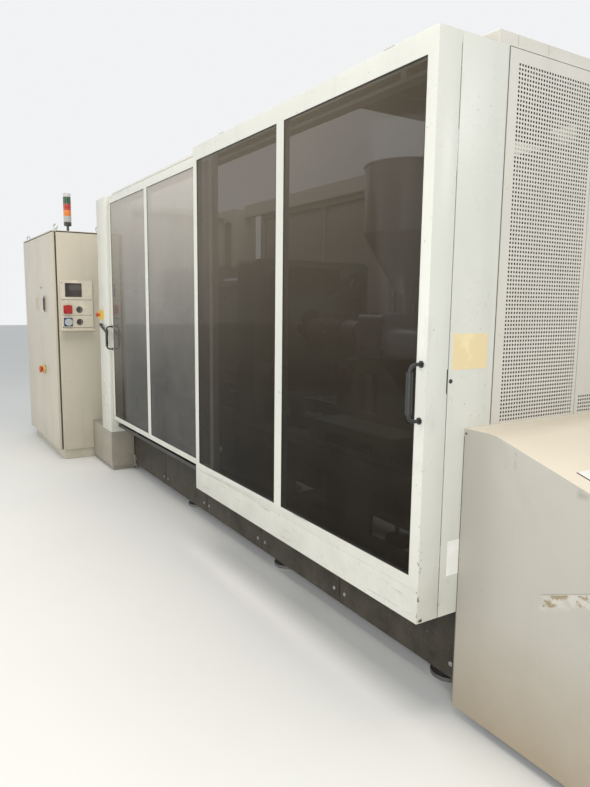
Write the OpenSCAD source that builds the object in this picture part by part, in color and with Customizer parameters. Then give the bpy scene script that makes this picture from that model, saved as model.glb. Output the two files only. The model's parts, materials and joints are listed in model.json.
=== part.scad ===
// Injection moulding machine with full-height bypass guard doors.
// Millimetres. +X runs towards the injection end, -Y faces the operator, +Z is up.
// Every piece is drawn from the guard's near front corner (x = 0, y = 0) and is moved
// once, by place(), so that the origin lies on the floor under the machine's middle.

/* [Guard] */
// Width of the near sliding door
near_door_w = 2020; // [1850:10:2300]
// Width of the far sliding door
far_door_w = 2180; // [2050:10:2400]
// How far the two closed doors overlap
door_overlap = 30; // [10:1:60]
// Height of the near door's lower edge above the floor
guard_z = 420; // [400:5:460]
// Height of the near door
guard_h = 2050; // [1950:10:2300]
// Depth of the guard from front to back
guard_d = 1670; // [1600:10:1900]
// Thickness of a door leaf
leaf_t = 40; // [30:1:45]
// Depth of the near door's end return
return_d = 103; // [90:1:130]
// Width of the near door's end return
return_w = 40; // [20:1:50]
// Gap between leaves that slide past each other
slide_gap = 5; // [3:0.5:8]
// Thickness of the sheet that the leaves and columns are folded from
sheet = 2.5; // [1.5:0.5:4]
// Width of the lip folded inwards along each leaf edge
lip = 10; // [6:1:12]
// Thickness of a window pane
pane_t = 6; // [4:1:8]
// How far a pane reaches behind the frame round its opening
rebate = 12; // [8:1:16]
// Width of the near door's outer stiles
stile = 50; // [40:1:80]
// Width of the bar between two panes
mullion = 65; // [50:1:90]
// Height of the near door's top rail
top_rail = 80; // [75:1:110]
// Height of the skirt under the near door's panes
skirt = 170; // [160:5:220]
// Height of the far door's bottom rail
far_rail = 40; // [38:1:70]
// Height of the far door's top rail
far_top_rail = 61; // [50:1:90]
// Width of the far door's outer left stile
far_stile = 50; // [45:1:100]
// Width of the far door's left pane
far_pane_w = 895; // [700:5:1100]
// How far each door slides open
door_travel = 1900; // [1000:10:1950]

/* [Door rails] */
// Clear height of one rail channel
channel_h = 48; // [44:1:60]
// Wall of the rail section
rail_wall = 5; // [3:0.5:6]
// Depth of the rail section
rail_d = 60; // [50:1:80]
// Gap between the far leaf's back and the rails
rail_gap = 4; // [3:0.5:8]
// Height of the lower rail above the near door's lower edge
rail_rise = 22; // [10:1:40]
// Height of a carrier arm
arm_h = 12; // [10:1:16]
// Height of the upper carrier arm's middle above the near door's top edge
arm_rise = 19; // [16:1:30]
// Distance of each carrier from its door's end
carrier_in = 300; // [150:10:500]
// Radius of a carrier axle
axle_r = 8; // [5:0.5:12]
// Depth of the lip below the lower rail
rail_lip = 14; // [5:1:20]
// How far the upper rail's outer channel stops short of the guard's near end
channel_short = 130; // [110:5:200]

/* [Handles] */
// Height of a handle between its feet
handle_span = 200; // [140:5:260]
// How far the middle of a handle's grip stands out
handle_out = 53; // [45:1:70]
// Radius of a handle's grip
grip_r = 12; // [9:0.5:13]
// Radius of the rods at a handle's ends
handle_rod_r = 6.5; // [5:0.5:8]
// Height of the handles' middle above the floor
handle_z = 1270; // [1100:10:1400]
// How much lower the far door's handle sits
far_handle_drop = 20; // [0:5:60]

/* [Columns and end] */
// Width of the far column
column_w = 290; // [200:5:320]
// Set-back of the far column's front
column_y = 85; // [60:1:95]
// Gap between the far column and the far door
column_gap = 20; // [10:1:40]
// Height of the far column's lower edge above the floor
column_z = 380; // [360:5:395]
// How far the far column rises above the near door
column_rise = 15; // [0:1:40]
// Side of the square tubes across the guard
tube = 60; // [40:1:70]
// Set-back of the near column's label panel
label_y = 107; // [106:0.5:125]
// Outer edge of the near column's label panel
label_y1 = 334; // [300:1:360]
// Thickness of the near column and of the tubes behind the vent panels
near_col_t = 60; // [50:1:80]
// Depth of a vent panel tray
vent_t = 25; // [15:1:30]
// Lower edge of the vent panels
vent_z = 1112; // [1080:2:1125]
// Gap between the end panels
vent_seam = 5; // [2:0.5:6]
// Pitch of the perforation
vent_pitch = 42; // [32:1:60]
// Side of one perforation
vent_hole = 25; // [10:1:28]
// Plain margin round the perforated field
vent_margin = 32; // [20:1:60]
// Height of the roof cover
roof_h = 45; // [30:1:60]
// Length of the roof cover
roof_l = 700; // [400:10:800]
// Set-back of the roof cover
roof_y = 278; // [260:1:300]

/* [End hood] */
// Length of the hood at the injection end
hood_l = 950; // [850:10:1200]
// Set-back of the hood from the guard's front
hood_y = 200; // [150:5:260]
// Height of the hood where it meets the vent panels
hood_h = 1130; // [1100:5:1200]
// Length of the hood's level top
hood_flat = 140; // [80:5:250]
// Fall of the hood's sloping top
hood_fall = 245; // [120:5:300]
// Radius of the bend between the hood's level top and its slope
hood_bend = 280; // [120:10:400]
// Clearance under the hood
hood_lift = 40; // [20:1:60]
// Thickness of the hood's sheet
hood_sheet = 4; // [3:0.5:6]

/* [Bed] */
// Height of the bed's slideway
bed_z = 800; // [760:10:840]
// Height of the levelling feet
foot_h = 120; // [100:5:140]
// Radius of a levelling foot
foot_r = 80; // [50:5:100]
// Set-back of the bed's side plate
bed_y = 325; // [300:5:360]
// Thickness of the bed's plates
bed_plate = 25; // [15:1:40]
// Width of the bed's flanges
flange_w = 150; // [145:5:200]
// Depth of a bed panel tray
panel_t = 25; // [15:1:30]
// Height of the bed panels' upper edge
panel_top = 480; // [400:10:490]

/* [Clamp] */
// Height of the machine's centre line
centre_z = 1400; // [1350:10:1480]
// Side of a platen
platen_s = 900; // [860:10:960]
// Thickness of the fixed platen
fixed_t = 220; // [200:5:260]
// Thickness of the moving platen
moving_t = 200; // [160:5:240]
// How far the fixed platen's injection side lies inside the near door's far edge
fixed_in = 40; // [0:5:60]
// Smallest mould height
mould_min = 250; // [150:10:350]
// Opening stroke of the clamp
clamp_stroke = 450; // [300:10:500]
// Radius of a tie bar
tie_r = 50; // [35:1:60]
// Distance between tie bar centres
tie_pitch = 600; // [560:10:640]
// Length of a tie bar nut
nut_l = 80; // [50:5:100]
// Radius of a tie bar nut
nut_r = 85; // [70:1:95]
// Radius of the locating ring bore
ring_r = 62.5; // [50:0.5:80]
// Depth of the locating ring bore
ring_depth = 25; // [15:1:40]
// Radius of the hole for the nozzle behind the locating ring
nozzle_hole_r = 56; // [50:0.5:70]
// Pitch of the mould fixing holes
mould_pitch = 140; // [130:1:150]
// Radius of a mould fixing hole
mould_hole_r = 8.75; // [6:0.25:12]
// Depth of a mould fixing hole
mould_hole_l = 45; // [30:1:70]
// Radius of the clamp ram
ram_r = 150; // [120:1:170]
// Length of the clamp ram
ram_l = 910; // [850:10:950]
// Wall of the clamp cylinder
cyl_wall = 65; // [40:1:80]
// Length of the clamp cylinder
cyl_l = 820; // [800:10:830]
// Stroke of the ejector
eject_stroke = 120; // [80:5:150]
// Radius of an ejector rod
rod_r = 15; // [10:1:20]
// Radial clearance of parts that slide in each other
run_gap = 0.4; // [0.3:0.1:0.8]

/* [Injection unit] */
// Distance from the fixed platen to the feed block
barrel_l = 800; // [760:10:820]
// Radius of the barrel
barrel_r = 65; // [55:1:75]
// Radius of the screw
screw_r = 30; // [20:1:35]
// Pitch of the screw's flight
screw_pitch = 60; // [40:1:80]
// Length of the feed block
feed_l = 200; // [160:5:240]
// Half height of the feed block
feed_h = 120; // [105:5:150]
// Distance between the injection cylinders
jack_pitch = 340; // [320:10:400]
// Outer radius of an injection cylinder
jack_r = 55; // [45:1:65]
// Injection stroke of the screw
inject_stroke = 200; // [120:5:200]
// How far the carriage draws back
carriage_stroke = 250; // [150:10:250]
// Radius of the hopper
hopper_r = 230; // [180:5:250]
// Height of the hopper's rim above the floor
hopper_z = 2300; // [2150:10:2320]

/* [Control cabinet] */
// Length of the control cabinet
cab_l = 1550; // [1400:10:1800]
// Depth of the control cabinet
cab_d = 500; // [400:10:600]
// Height of the control cabinet
cab_h = 2240; // [2000:10:2300]
// How far the cabinet stands out in front of the guard
cab_out = 233; // [150:1:260]
// Distance from the far column to the cabinet
cab_gap = 420; // [400:10:500]
// Thickness of a cabinet door
cab_door_t = 25; // [18:1:30]
// Height of the cabinet's plinth
plinth_h = 100; // [60:5:150]
// Radius of the signal beacon
beacon_r = 36; // [28:1:40]
// Height of the signal beacon
beacon_h = 370; // [300:5:420]
// Radius of an emergency stop's head
stop_r = 20; // [16:1:24]
// How far an emergency stop's head stands out from its box
stop_out = 34; // [30:1:40]
// Depth of the column's emergency stop box
stop_box_t = 25; // [24:1:70]
// Travel of an emergency stop
stop_travel = 6; // [3:1:8]

/* [Hidden] */
$fn = 48;

// Guard planes
guard_top = guard_z + guard_h;
far_y = return_d + slide_gap;
rail_y = far_y + leaf_t + rail_gap;
rail_back = rail_y + rail_d;
far_x1 = door_overlap - near_door_w;
far_x0 = far_x1 - far_door_w;
column_x1 = far_x0 - column_gap;
column_x0 = column_x1 - column_w;
column_z1 = guard_top + column_rise;
bed_x0 = column_x0 + tube;
near_x = -near_col_t;
back_y = guard_d - bed_y;

// Door rails: two channels one above the other, the near door's outermost
rail_h = 3 * rail_wall + 2 * channel_h;
low_rail_z = guard_z + rail_rise;
low_near_z = low_rail_z + rail_wall + channel_h / 2;
low_far_z = low_near_z + rail_wall + channel_h;
top_near_z = guard_top + arm_rise;
top_far_z = top_near_z - rail_wall - channel_h;
top_rail_z = top_far_z - channel_h / 2 - rail_wall;
far_z0 = low_far_z - channel_h / 2;
far_z1 = top_near_z - arm_h / 2 - slide_gap;
wheel_r = channel_h / 2 - 0.3;
buffer_l = 30;
buffer_gap = 2;

// Windows, as [x0, z0, x1, z1]
pane_z = [guard_z + skirt, guard_top - top_rail];
near_pane_w = (near_door_w - 2 * stile - mullion) / 2;
near_holes = [
  [-stile - near_pane_w, pane_z[0], -stile, pane_z[1]],
  [stile - near_door_w, pane_z[0], stile - near_door_w + near_pane_w, pane_z[1]]
];
far_bar_x = far_x0 + far_stile + far_pane_w;
far_holes = [
  [far_x0 + far_stile, far_z0 + far_rail, far_bar_x, far_z1 - far_top_rail],
  [far_bar_x + mullion, far_z0 + far_rail, far_x1 - stile, far_z1 - far_top_rail]
];
rear_pane_w = (far_door_w - 2 * stile - mullion) / 2;
rear_holes = [
  [far_x0 + stile, pane_z[0], far_x0 + stile + rear_pane_w, pane_z[1]],
  [far_x1 - stile - rear_pane_w, pane_z[0], far_x1 - stile, pane_z[1]]
];

// Clamp, from the fixed platen outwards
centre_y = guard_d / 2;
eject_plate_t = 30;
eject_gap = 10;
spider_l = eject_stroke + eject_plate_t + 5 * eject_gap;
fixed_x1 = fixed_in - near_door_w;
fixed_x0 = fixed_x1 - fixed_t;
moving_x1 = fixed_x0 - mould_min - clamp_stroke;
moving_x0 = moving_x1 - moving_t;
ram_flange_t = 40;
ram_x1 = moving_x0 - spider_l - ram_flange_t;
block_x1 = ram_x1 - 20;
block_t = 200;
block_x0 = block_x1 - block_t;
cyl_x0 = block_x0 - cyl_l;
platen_z0 = centre_z - platen_s / 2;
ways_y = bed_y + 75;
ways_w = 60;
ways_h = 30;
shoe_gap = 0.3;
flange_t = 30;
bed_edge = 90;

// Injection unit, from the fixed platen inwards
barrel_x1 = fixed_x1 + barrel_l;
feed_x1 = barrel_x1 + feed_l;
jack_piston_t = 30;
jack_head_t = 20;
jack_l = inject_stroke + jack_piston_t + jack_head_t + 15;
cross_x0 = feed_x1 + jack_l + 15;
cross_t = 80;
rails_h = 40;
saddle_z0 = bed_z + rails_h + shoe_gap + 60;
nose_l = 30;
barrel_flange_t = 45;
throat_r = 41;
hopper_x = (barrel_x1 + feed_x1) / 2;
lid_hinge_x = hopper_x - hopper_r - 20;
lid_pin_r = 4;
lid_knuckle_r = 6;
lid_hinge_z = hopper_z + shoe_gap + lid_knuckle_r;

// Pump set under the hood
motor_r = 140;
motor_z = guard_z + 20 + motor_r;
motor_shaft_r = 22;
motor_y1 = centre_y + 220;

// Control cabinet
cab_x1 = column_x0 - cab_gap;
cab_x0 = cab_x1 - cab_l;
cab_mid = (cab_x0 + cab_x1) / 2;
cab_skin = 3;
gasket_t = 4;
roof_t = 12;
cab_front = cab_door_t - cab_out;
body_front = cab_front + gasket_t;
cab_back = cab_d - cab_out;
door_z = [plinth_h + 8, cab_h - 20];
hinge_in = 8;
hinge_pin_r = 4;
hinge_y = cab_front - cab_door_t / 2;
hinge_xs = [cab_x0 + hinge_in, cab_x1 - hinge_in];
hinge_plate_t = 6;

// Emergency stops
stop_box = 80;
stem_in = 14;
stop_bore_l = stem_in + stop_travel + 2;
column_stop_x = column_x1 - 190;
column_stop_z = handle_z + 180;
cab_stop_in = 550;
cab_stop_x = cab_x1 - cab_stop_in;
cab_stop_z = 865;
collar_t = 26;
stem_r = 8.5;
stop_bore_r = 9;

// Service sockets and a display on the cabinet's near end
unit_y = [-175, 125];
unit_z = [1300, 1770];
unit_t = 38;
socket_y = -115;
socket_z = [1490, 1370];
socket_hole_r = 28;
socket_out = 30;
beacon_at = [cab_x1 - 150, -44, cab_h];

// Middle of the whole machine, which the origin lies under
x_mid = (hood_l + cab_x0) / 2;
y_mid = (guard_d + handle_out + grip_r - cab_out - collar_t - stop_out) / 2;

module place() translate([-x_mid, -y_mid, 0]) children();
module block(lo, hi) translate(lo) cube(hi - lo);
module along_x(x, l) translate([x, 0, 0]) rotate([90, 0, 90]) linear_extrude(l) children();
module along_y(y, l) translate([0, y + l, 0]) rotate([90, 0, 0]) linear_extrude(l) children();
module along_z(z, l) translate([0, 0, z]) linear_extrude(l) children();
module rod_x(x, y, z, r, l) translate([x, y, z]) rotate([0, 90, 0]) cylinder(r = r, h = l);
module rod_y(x, y, z, r, l) translate([x, y + l, z]) rotate([90, 0, 0]) cylinder(r = r, h = l);
module back_side() translate([0, guard_d, 0]) mirror([0, 1, 0]) children();
module both_sides() { children(); back_side() children(); }
module rect(r) translate([r[0], r[1]]) square([r[2] - r[0], r[3] - r[1]]);
function grow(r, g) = [r[0] - g, r[1] - g, r[2] + g, r[3] + g];
module ring(r, g0, g1) difference() { rect(grow(r, g1)); rect(grow(r, g0)); }
module round_rect(r, c) {
  rect([r[0] + c, r[1], r[2] - c, r[3]]);
  rect([r[0], r[1] + c, r[2], r[3] - c]);
  for (x = [r[0] + c, r[2] - c], y = [r[1] + c, r[3] - c]) translate([x, y]) circle(c);
}
module tie_places() for (y = [-1, 1], z = [-1, 1])
  translate([centre_y + y * tie_pitch / 2, centre_z + z * tie_pitch / 2]) children();
module box_tube_y(x, z, w, h, y0, y1) along_y(y0, y1 - y0) ring([x + 3, z + 3, x + w - 3, z + h - 3], 0, 3);

// A door leaf folded from sheet, front face at y = 0, open at the back between its lips
module leaf(outer, holes, t) {
  along_y(0, sheet) difference() {
    rect(outer);
    for (h = holes) rect(h);
  }
  along_y(0, t) ring(outer, -sheet, 0);
  along_y(t - sheet, sheet) ring(outer, -lip, 0);
  for (h = holes) {
    along_y(0, t) ring(h, rebate, rebate + sheet);
    along_y(t - sheet, sheet) ring(h, rebate, rebate + lip);
  }
}
module panes(holes) along_y(sheet, pane_t) for (h = holes) rect(grow(h, rebate - 1));

// A bridge handle whose feet stand on y = 0, one above the other
module bridge_handle() {
  bend = 4 * handle_rod_r;
  for (s = [-1, 1]) {
    z = s * handle_span / 2;
    rod_y(0, bend - handle_out, z, handle_rod_r, handle_out - bend);
    rod_y(0, -4, z, handle_rod_r + 6, 4);
    translate([0, bend - handle_out, z - s * bend]) rotate([90, 0, 90])
      rotate([0, 0, s > 0 ? 90 : 180]) rotate_extrude(angle = 90) translate([bend, 0]) circle(handle_rod_r);
  }
  translate([0, -handle_out, bend - handle_span / 2]) cylinder(r = grip_r, h = handle_span - 2 * bend);
}

// One carrier: a foot on the leaf's back at y0, an arm, an axle and a wheel in the rail
module carrier(x, z, y0, foot, foot_t, reach) {
  wheel_y = rail_y + rail_wall + 1;
  block([x - 30, y0, foot[0]], [x + 30, y0 + foot_t, foot[1]]);
  if (reach > 0) block([x - 20, y0 + foot_t, z - arm_h / 2], [x + 20, y0 + foot_t + reach, z + arm_h / 2]);
  rod_y(x, y0 + foot_t + reach, z, axle_r, wheel_y - y0 - foot_t - reach);
  rod_y(x, wheel_y, z, wheel_r, rail_d - 2 * rail_wall - 2);
}
module outer_carriers(xs) for (x = xs) {
  reach = rail_y - leaf_t - 5 - rail_gap;
  carrier(x, low_near_z, leaf_t, [guard_z + 2, pane_z[0] - rebate - 2], 5, reach);
  carrier(x, top_near_z, leaf_t, [pane_z[1] + rebate + 4, top_near_z + arm_h / 2], 5, reach);
}

module bed_sides() color("dimgray") place() {
  bay_l = (near_x - bed_x0) / 6;
  both_sides() {
    along_y(bed_y, bed_plate) difference() {
      rect([bed_x0, foot_h, near_x, bed_z]);
      for (i = [0:5]) round_rect([bed_x0 + i * bay_l + bed_edge, foot_h + bed_edge,
        bed_x0 + (i + 1) * bay_l - bed_edge, bed_z - bed_edge], 60);
    }
    for (z = [foot_h, bed_z - flange_t])
      block([bed_x0, bed_y, z], [near_x, bed_y + flange_w, z + flange_t]);
  }
}

// Cross plates that stand between the bed's sides, under the loads and at both ends
module bed_ribs() color("dimgray") place() {
  under = [block_x0 - 30, block_x1, fixed_x0 + 40, fixed_x1 + 200, barrel_x1 + 60];
  for (x = concat(bed_x0, under, near_x - bed_plate)) along_x(x, bed_plate) difference() {
    rect([bed_y + bed_plate, foot_h + flange_t, back_y - bed_plate, bed_z - flange_t]);
    round_rect([centre_y - 260, foot_h + bed_edge + 20, centre_y + 260, bed_z - bed_edge - 60], bed_edge);
  }
}

module levelling_feet() color("dimgray") place() {
  inset = 150;
  pad_t = 18;
  nut_h = 20;
  for (i = [0:3]) both_sides()
    translate([bed_x0 + inset + i * (near_x - bed_x0 - 2 * inset) / 3, bed_y + flange_w / 2, 0]) {
      cylinder(r = foot_r, h = pad_t);
      translate([0, 0, pad_t]) cylinder(r1 = foot_r - 8, r2 = 28, h = 14);
      cylinder(r = 15, h = foot_h);
      translate([0, 0, foot_h - nut_h]) cylinder(r = 24, h = nut_h, $fn = 6);
    }
}

module base_panels() color("gainsboro") place() {
  n = 5;
  w = (near_x - column_x1) / n;
  both_sides() for (i = [0:n - 1])
    translate([0, bed_y - panel_t, 0])
      leaf([column_x1 + i * w + 3, foot_h / 2, column_x1 + (i + 1) * w - 3, panel_top], [], panel_t);
}

module base_box() color("gainsboro") place() {
  x = [cab_x1, column_x1 - 60];
  box_in = 15;
  y = [column_y + box_in, bed_y - 10];
  kick = 20;
  kick_z = 40;
  difference() {
    block([x[0], y[0], kick_z], [x[1], y[1], column_z]);
    block([x[0] + 3, y[0] + 3, kick_z - 1], [x[1] - 3, y[1] - 3, column_z - 3]);
  }
  difference() {
    block([x[0], y[0] + kick, 0], [x[1] - kick, y[1], kick_z]);
    block([x[0] + kick, y[0] + 2 * kick, -1], [x[1] - 2 * kick, y[1] - kick, kick_z + 1]);
  }
}

module oil_tank() color("slategray") place() {
  wall = 6;
  leg = 80;
  filler = 120;
  x = [near_x, hood_l - 50];
  y = [hood_y + 100, guard_d - hood_y - 100];
  z = [60, guard_z];
  difference() {
    block([x[0], y[0], z[0]], [x[1], y[1], z[1]]);
    block([x[0] + wall, y[0] + wall, z[0] + wall], [x[1] - wall, y[1] - wall, z[1] - wall]);
    translate([x[1] - filler, y[1] - filler, z[1] - 20]) cylinder(r = 30, h = 40);
  }
  for (fx = [x[0] + 60, x[1] - 140], fy = [y[0] + 20, y[1] - 100])
    block([fx, fy, 0], [fx + leg, fy + leg, z[0]]);
}

module pump_motor() color("steelblue") place() {
  x = hood_l / 2;
  fin_l = 340;
  fin_t = 6;
  cap_l = 60;
  end_l = 40;
  shaft_l = 60;
  y = motor_y1 - shaft_l - end_l - fin_l - cap_l;
  rod_y(x, y, motor_z, motor_r, cap_l);
  rod_y(x, y + cap_l, motor_z, motor_r - 12, fin_l);
  rod_y(x, y + cap_l + fin_l, motor_z, motor_r, end_l);
  for (a = [20:20:340]) if (a < 240 || a > 300) translate([x, y + cap_l, motor_z]) rotate([0, a, 0])
    translate([-fin_t / 2, 0, -motor_r]) cube([fin_t, fin_l, 16]);
  rod_y(x, motor_y1 - shaft_l, motor_z, motor_shaft_r, shaft_l);
  for (s = [-1, 1]) block([x + s * 110 - 30, y + 90, guard_z], [x + s * 110 + 30, y + 370, motor_z - 60]);
}

module oil_pump() color("gray") place() {
  x = hood_l / 2;
  y = motor_y1 + run_gap;
  flange = 30;
  difference() {
    rod_y(x, y, motor_z, motor_r - 40, flange);
    rod_y(x, y - 1, motor_z, motor_shaft_r + 2, 10);
  }
  rod_y(x, y + flange, motor_z, motor_r - 65, 150);
  block([x - 70, y + 50, guard_z], [x + 70, y + 130, motor_z]);
}

// Side outline of the hood, drawn in by g for its inside
module hood_side(g) {
  tilt = atan(hood_fall / (hood_l - hood_flat));
  bend_at = [hood_flat - hood_bend * tan(tilt / 2), hood_h - hood_bend];
  steps = 8;
  polygon(concat(
    [[hood_l - g, hood_h - hood_fall + g * tan(tilt) - g / cos(tilt)], [hood_l - g, hood_lift - g]],
    [[g > 0 ? -1 : 0, hood_lift - g], [g > 0 ? -1 : 0, hood_h - g]],
    [for (i = [0:steps]) bend_at + (hood_bend - g) * [sin(tilt * i / steps), cos(tilt * i / steps)]]
  ));
}
module end_hood() color("gainsboro") place() difference() {
  along_y(hood_y, guard_d - 2 * hood_y) hood_side(0);
  along_y(hood_y + hood_sheet, guard_d - 2 * hood_y - 2 * hood_sheet) hood_side(hood_sheet);
}

module far_end_frame() color("white") place() {
  z = [column_z, column_z1];
  both_sides() difference() {
    block([column_x0, column_y, z[0]], [column_x1, bed_y, z[1]]);
    block([column_x0 + sheet, column_y + sheet, z[0] + sheet],
      [column_x1 - sheet, bed_y - sheet, z[1] - sheet]);
    along_y(bed_y - 10, 20) round_rect([column_x0 + 70, z[0] + 120, column_x1 - 70, z[1] - 120], 30);
  }
  box_tube_y(column_x0, column_z, tube, tube, bed_y, back_y);
  box_tube_y(column_x0, guard_top - tube, tube, tube, bed_y, back_y);
  block([column_x0, bed_y, column_z + tube], [column_x0 + sheet, back_y, guard_top - tube]);
}

module near_columns() color("white") place() both_sides() {
  along_z(guard_z, guard_h) {
    ring([near_x, rail_y + 13, 0, label_y1], -3, 0);
    rect([-3, label_y, 0, label_y1]);
  }
}

module guard_cross_rails() color("gainsboro") place() {
  y = [label_y1, guard_d - label_y1];
  w = near_col_t - vent_t;
  for (z = [guard_z, vent_z + 8 - tube, guard_top - tube]) box_tube_y(near_x, z, w, tube, y[0], y[1]);
  along_z(vent_z + 8, guard_top - tube - vent_z - 8)
    ring([near_x, centre_y - 20, near_x + w, centre_y + 20], -3, 0);
  box_tube_y(-roof_l, guard_top - tube, tube, tube, rail_back, guard_d - rail_back);
}

module vent_panels() color("beige") place() {
  w = (guard_d - 2 * label_y1) / 2;
  z = [vent_z, guard_top - 2];
  cols = floor((w - 2 * vent_margin) / vent_pitch);
  rows = floor((z[1] - z[0] - 2 * vent_margin) / vent_pitch);
  edge = (w - (cols - 1) * vent_pitch) / 2;
  for (side = [0, 1]) {
    y0 = label_y1 + side * w;
    tray = [y0 + vent_seam / 2, z[0], y0 + w - vent_seam / 2, z[1]];
    along_x(-vent_t, vent_t) ring(tray, -sheet, 0);
    along_x(-sheet, sheet) difference() {
      rect(tray);
      for (i = [0:cols - 1], j = [0:(side == 0 ? rows - 1 : 1)])
        translate([y0 + edge + i * vent_pitch, z[0] + vent_margin + (j + 0.5) * vent_pitch])
          square(vent_hole, center = true);
    }
  }
}

module roof_cover() color("beige") place() difference() {
  block([-roof_l, roof_y, guard_top], [0, guard_d - roof_y, guard_top + roof_h]);
  block([3 - roof_l, roof_y + 3, guard_top - 1], [-3, guard_d - roof_y - 3, guard_top + roof_h - 3]);
}

// Section of a door rail: two channels that open towards the doors
module rail_section() translate([rail_y, 0]) difference() {
  square([rail_d, rail_h]);
  for (i = [0, 1]) translate([0, rail_wall + i * (channel_h + rail_wall)]) {
    translate([rail_wall, 0]) square([rail_d - 2 * rail_wall, channel_h]);
    translate([-1, 9]) square([rail_wall + 2, channel_h - 18]);
  }
}
// Buffers that stop a door's wheels at the end of its travel
module buffers(x, zs) for (z = zs)
  block([x, rail_y + 1, z - channel_h / 2 - 1], [x + buffer_l, rail_back - 1, z + channel_h / 2 + 1]);
module door_rails() color("dimgray") place() {
  far_stop = far_x1 - carrier_in + door_travel + wheel_r + buffer_gap;
  near_stop = carrier_in - near_door_w - door_travel - wheel_r - buffer_gap - buffer_l;
  buffers(near_stop, [low_near_z, top_near_z]);
  buffers(far_stop, [low_far_z, top_far_z]);
  back_side() buffers(far_stop, [low_near_z, top_near_z]);
  both_sides() rail_pair();
}
module rail_pair() {
  l = near_x - column_x1;
  along_x(column_x1, l) {
    translate([0, low_rail_z]) rail_section();
    translate([rail_y, low_rail_z - rail_lip]) square([rail_wall, rail_lip + 1]);
  }
  difference() {
    along_x(column_x1, l) translate([0, top_rail_z]) rail_section();
    block([-channel_short, rail_y - 1, guard_top], [0, rail_back + 1, top_rail_z + rail_h + 1]);
  }
  for (i = [1:3]) {
    x = column_x1 + i * l / 4;
    block([x - 30, rail_back, panel_top + 20], [x + 30, bed_y, panel_top + 60]);
  }
}

module rear_panel() color("white") place() back_side() translate([0, far_y, 0])
  leaf([-near_door_w, far_z0, near_x - 2, far_z1], [], leaf_t + rail_gap);

module near_door_frame() color("white") place() {
  difference() {
    leaf([-near_door_w, guard_z, 0, guard_top], near_holes, leaf_t);
    block([-near_door_w - 1, -1, pane_z[0] - 47], [1, 1, pane_z[0] - 44]);
  }
  along_z(guard_z, guard_h) {
    rect([-sheet, 0, 0, return_d]);
    rect([-return_w, return_d - sheet, 0, return_d]);
  }
}
module near_door_panes() color([0.25, 0.22, 0.18]) place() panes(near_holes);
module near_door_handle() color("black") place() translate([-stile / 2, 0, handle_z]) bridge_handle();
module near_door_carriers() color("silver") place() outer_carriers([-carrier_in, carrier_in - near_door_w]);

module far_door_frame() color("white") place() translate([0, far_y, 0])
  leaf([far_x0, far_z0, far_x1, far_z1], far_holes, leaf_t);
module far_door_panes() color([0.5, 0.48, 0.44]) place() translate([0, far_y, 0]) panes(far_holes);
module far_door_handle() color("black") place()
  translate([far_x0 + far_stile / 2, far_y, handle_z - far_handle_drop]) bridge_handle();
module far_door_carriers() color("silver") place() for (x = [far_x0 + carrier_in, far_x1 - carrier_in]) {
  t = rail_gap - 1;
  carrier(x, low_far_z, far_y + leaf_t, [far_z0 + 2, far_z0 + far_rail - 2], t, 0);
  carrier(x, top_far_z, far_y + leaf_t, [far_z1 - far_top_rail + 2, far_z1 - 2], t, 0);
}

module rear_door_frame() color("white") place() back_side()
  leaf([far_x0, guard_z, far_x1, guard_top], rear_holes, leaf_t);
module rear_door_panes() color([0.5, 0.48, 0.44]) place() back_side() panes(rear_holes);
module rear_door_handle() color("black") place()
  back_side() translate([far_x0 + stile / 2, 0, handle_z]) bridge_handle();
module rear_door_carriers() color("silver") place()
  back_side() outer_carriers([far_x0 + carrier_in, far_x1 - carrier_in]);

module door_latch() color("black") place() {
  bar_t = 5;
  drop = 75;
  pad = 22;
  pivot = [column_x1 - 210, handle_z + 90];
  grip_x = far_x0 + far_stile / 2 - grip_r - 0.5;
  tip = [grip_x - pad / 2, pivot[1] - drop];
  along_y(column_y - 20, bar_t) {
    translate(pivot) circle(14);
    polygon([pivot + [3, 13.5], pivot - [3, 13.5], tip - [3, 10], tip + [3, 10]]);
    rect([grip_x - pad, tip[1] - pad, grip_x, tip[1] + pad]);
  }
  rod_y(pivot[0], column_y - 20 + bar_t, pivot[1], 10, 20 - bar_t - shoe_gap);
}

// Mould fixing holes, left out round the locating ring
module fixing_circles() for (a = [-1.5:1.5], b = [-1.5:1.5]) if (max(abs(a), abs(b)) > 1)
  translate([centre_y + a * mould_pitch, centre_z + b * mould_pitch]) circle(mould_hole_r);
module platen(x, t, hole_r) along_x(x, t) difference() {
  round_rect([centre_y - platen_s / 2, platen_z0, centre_y + platen_s / 2, platen_z0 + platen_s], 40);
  tie_places() circle(hole_r);
}
module platen_feet(x, t, z0) both_sides()
  block([x, ways_y - 5, z0], [x + t, ways_y + ways_w + 5, platen_z0 + 45]);

// Outline of one casting pocket between two tie bars, from the hub out to the rim
module platen_pocket(hub_r) {
  rim = 45;
  tie_edge = tie_pitch / 2 - 90;
  round_rect([-tie_edge, hub_r, tie_edge, platen_s / 2 - rim], 30);
}

module fixed_platen() color("darkseagreen") place() difference() {
  pocket = 110;
  hub_r = 235;
  union() {
    platen(fixed_x0, fixed_t, tie_r + 0.2);
    platen_feet(fixed_x0, fixed_t, bed_z);
  }
  rod_x(fixed_x0 - 1, centre_y, centre_z, ring_r, ring_depth + 1);
  rod_x(fixed_x0, centre_y, centre_z, nozzle_hole_r, fixed_t);
  translate([fixed_x0 + ring_depth + 10, centre_y, centre_z]) rotate([0, 90, 0])
    cylinder(r1 = nozzle_hole_r, r2 = 130, h = fixed_t - ring_depth - 9.9);
  along_x(fixed_x0 - 0.1, mould_hole_l + 0.1) fixing_circles();
  for (a = [0:90:270]) translate([0, centre_y, centre_z]) rotate([a, 0, 0])
    along_x(fixed_x1 - pocket, pocket + 1) platen_pocket(hub_r);
}

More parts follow.
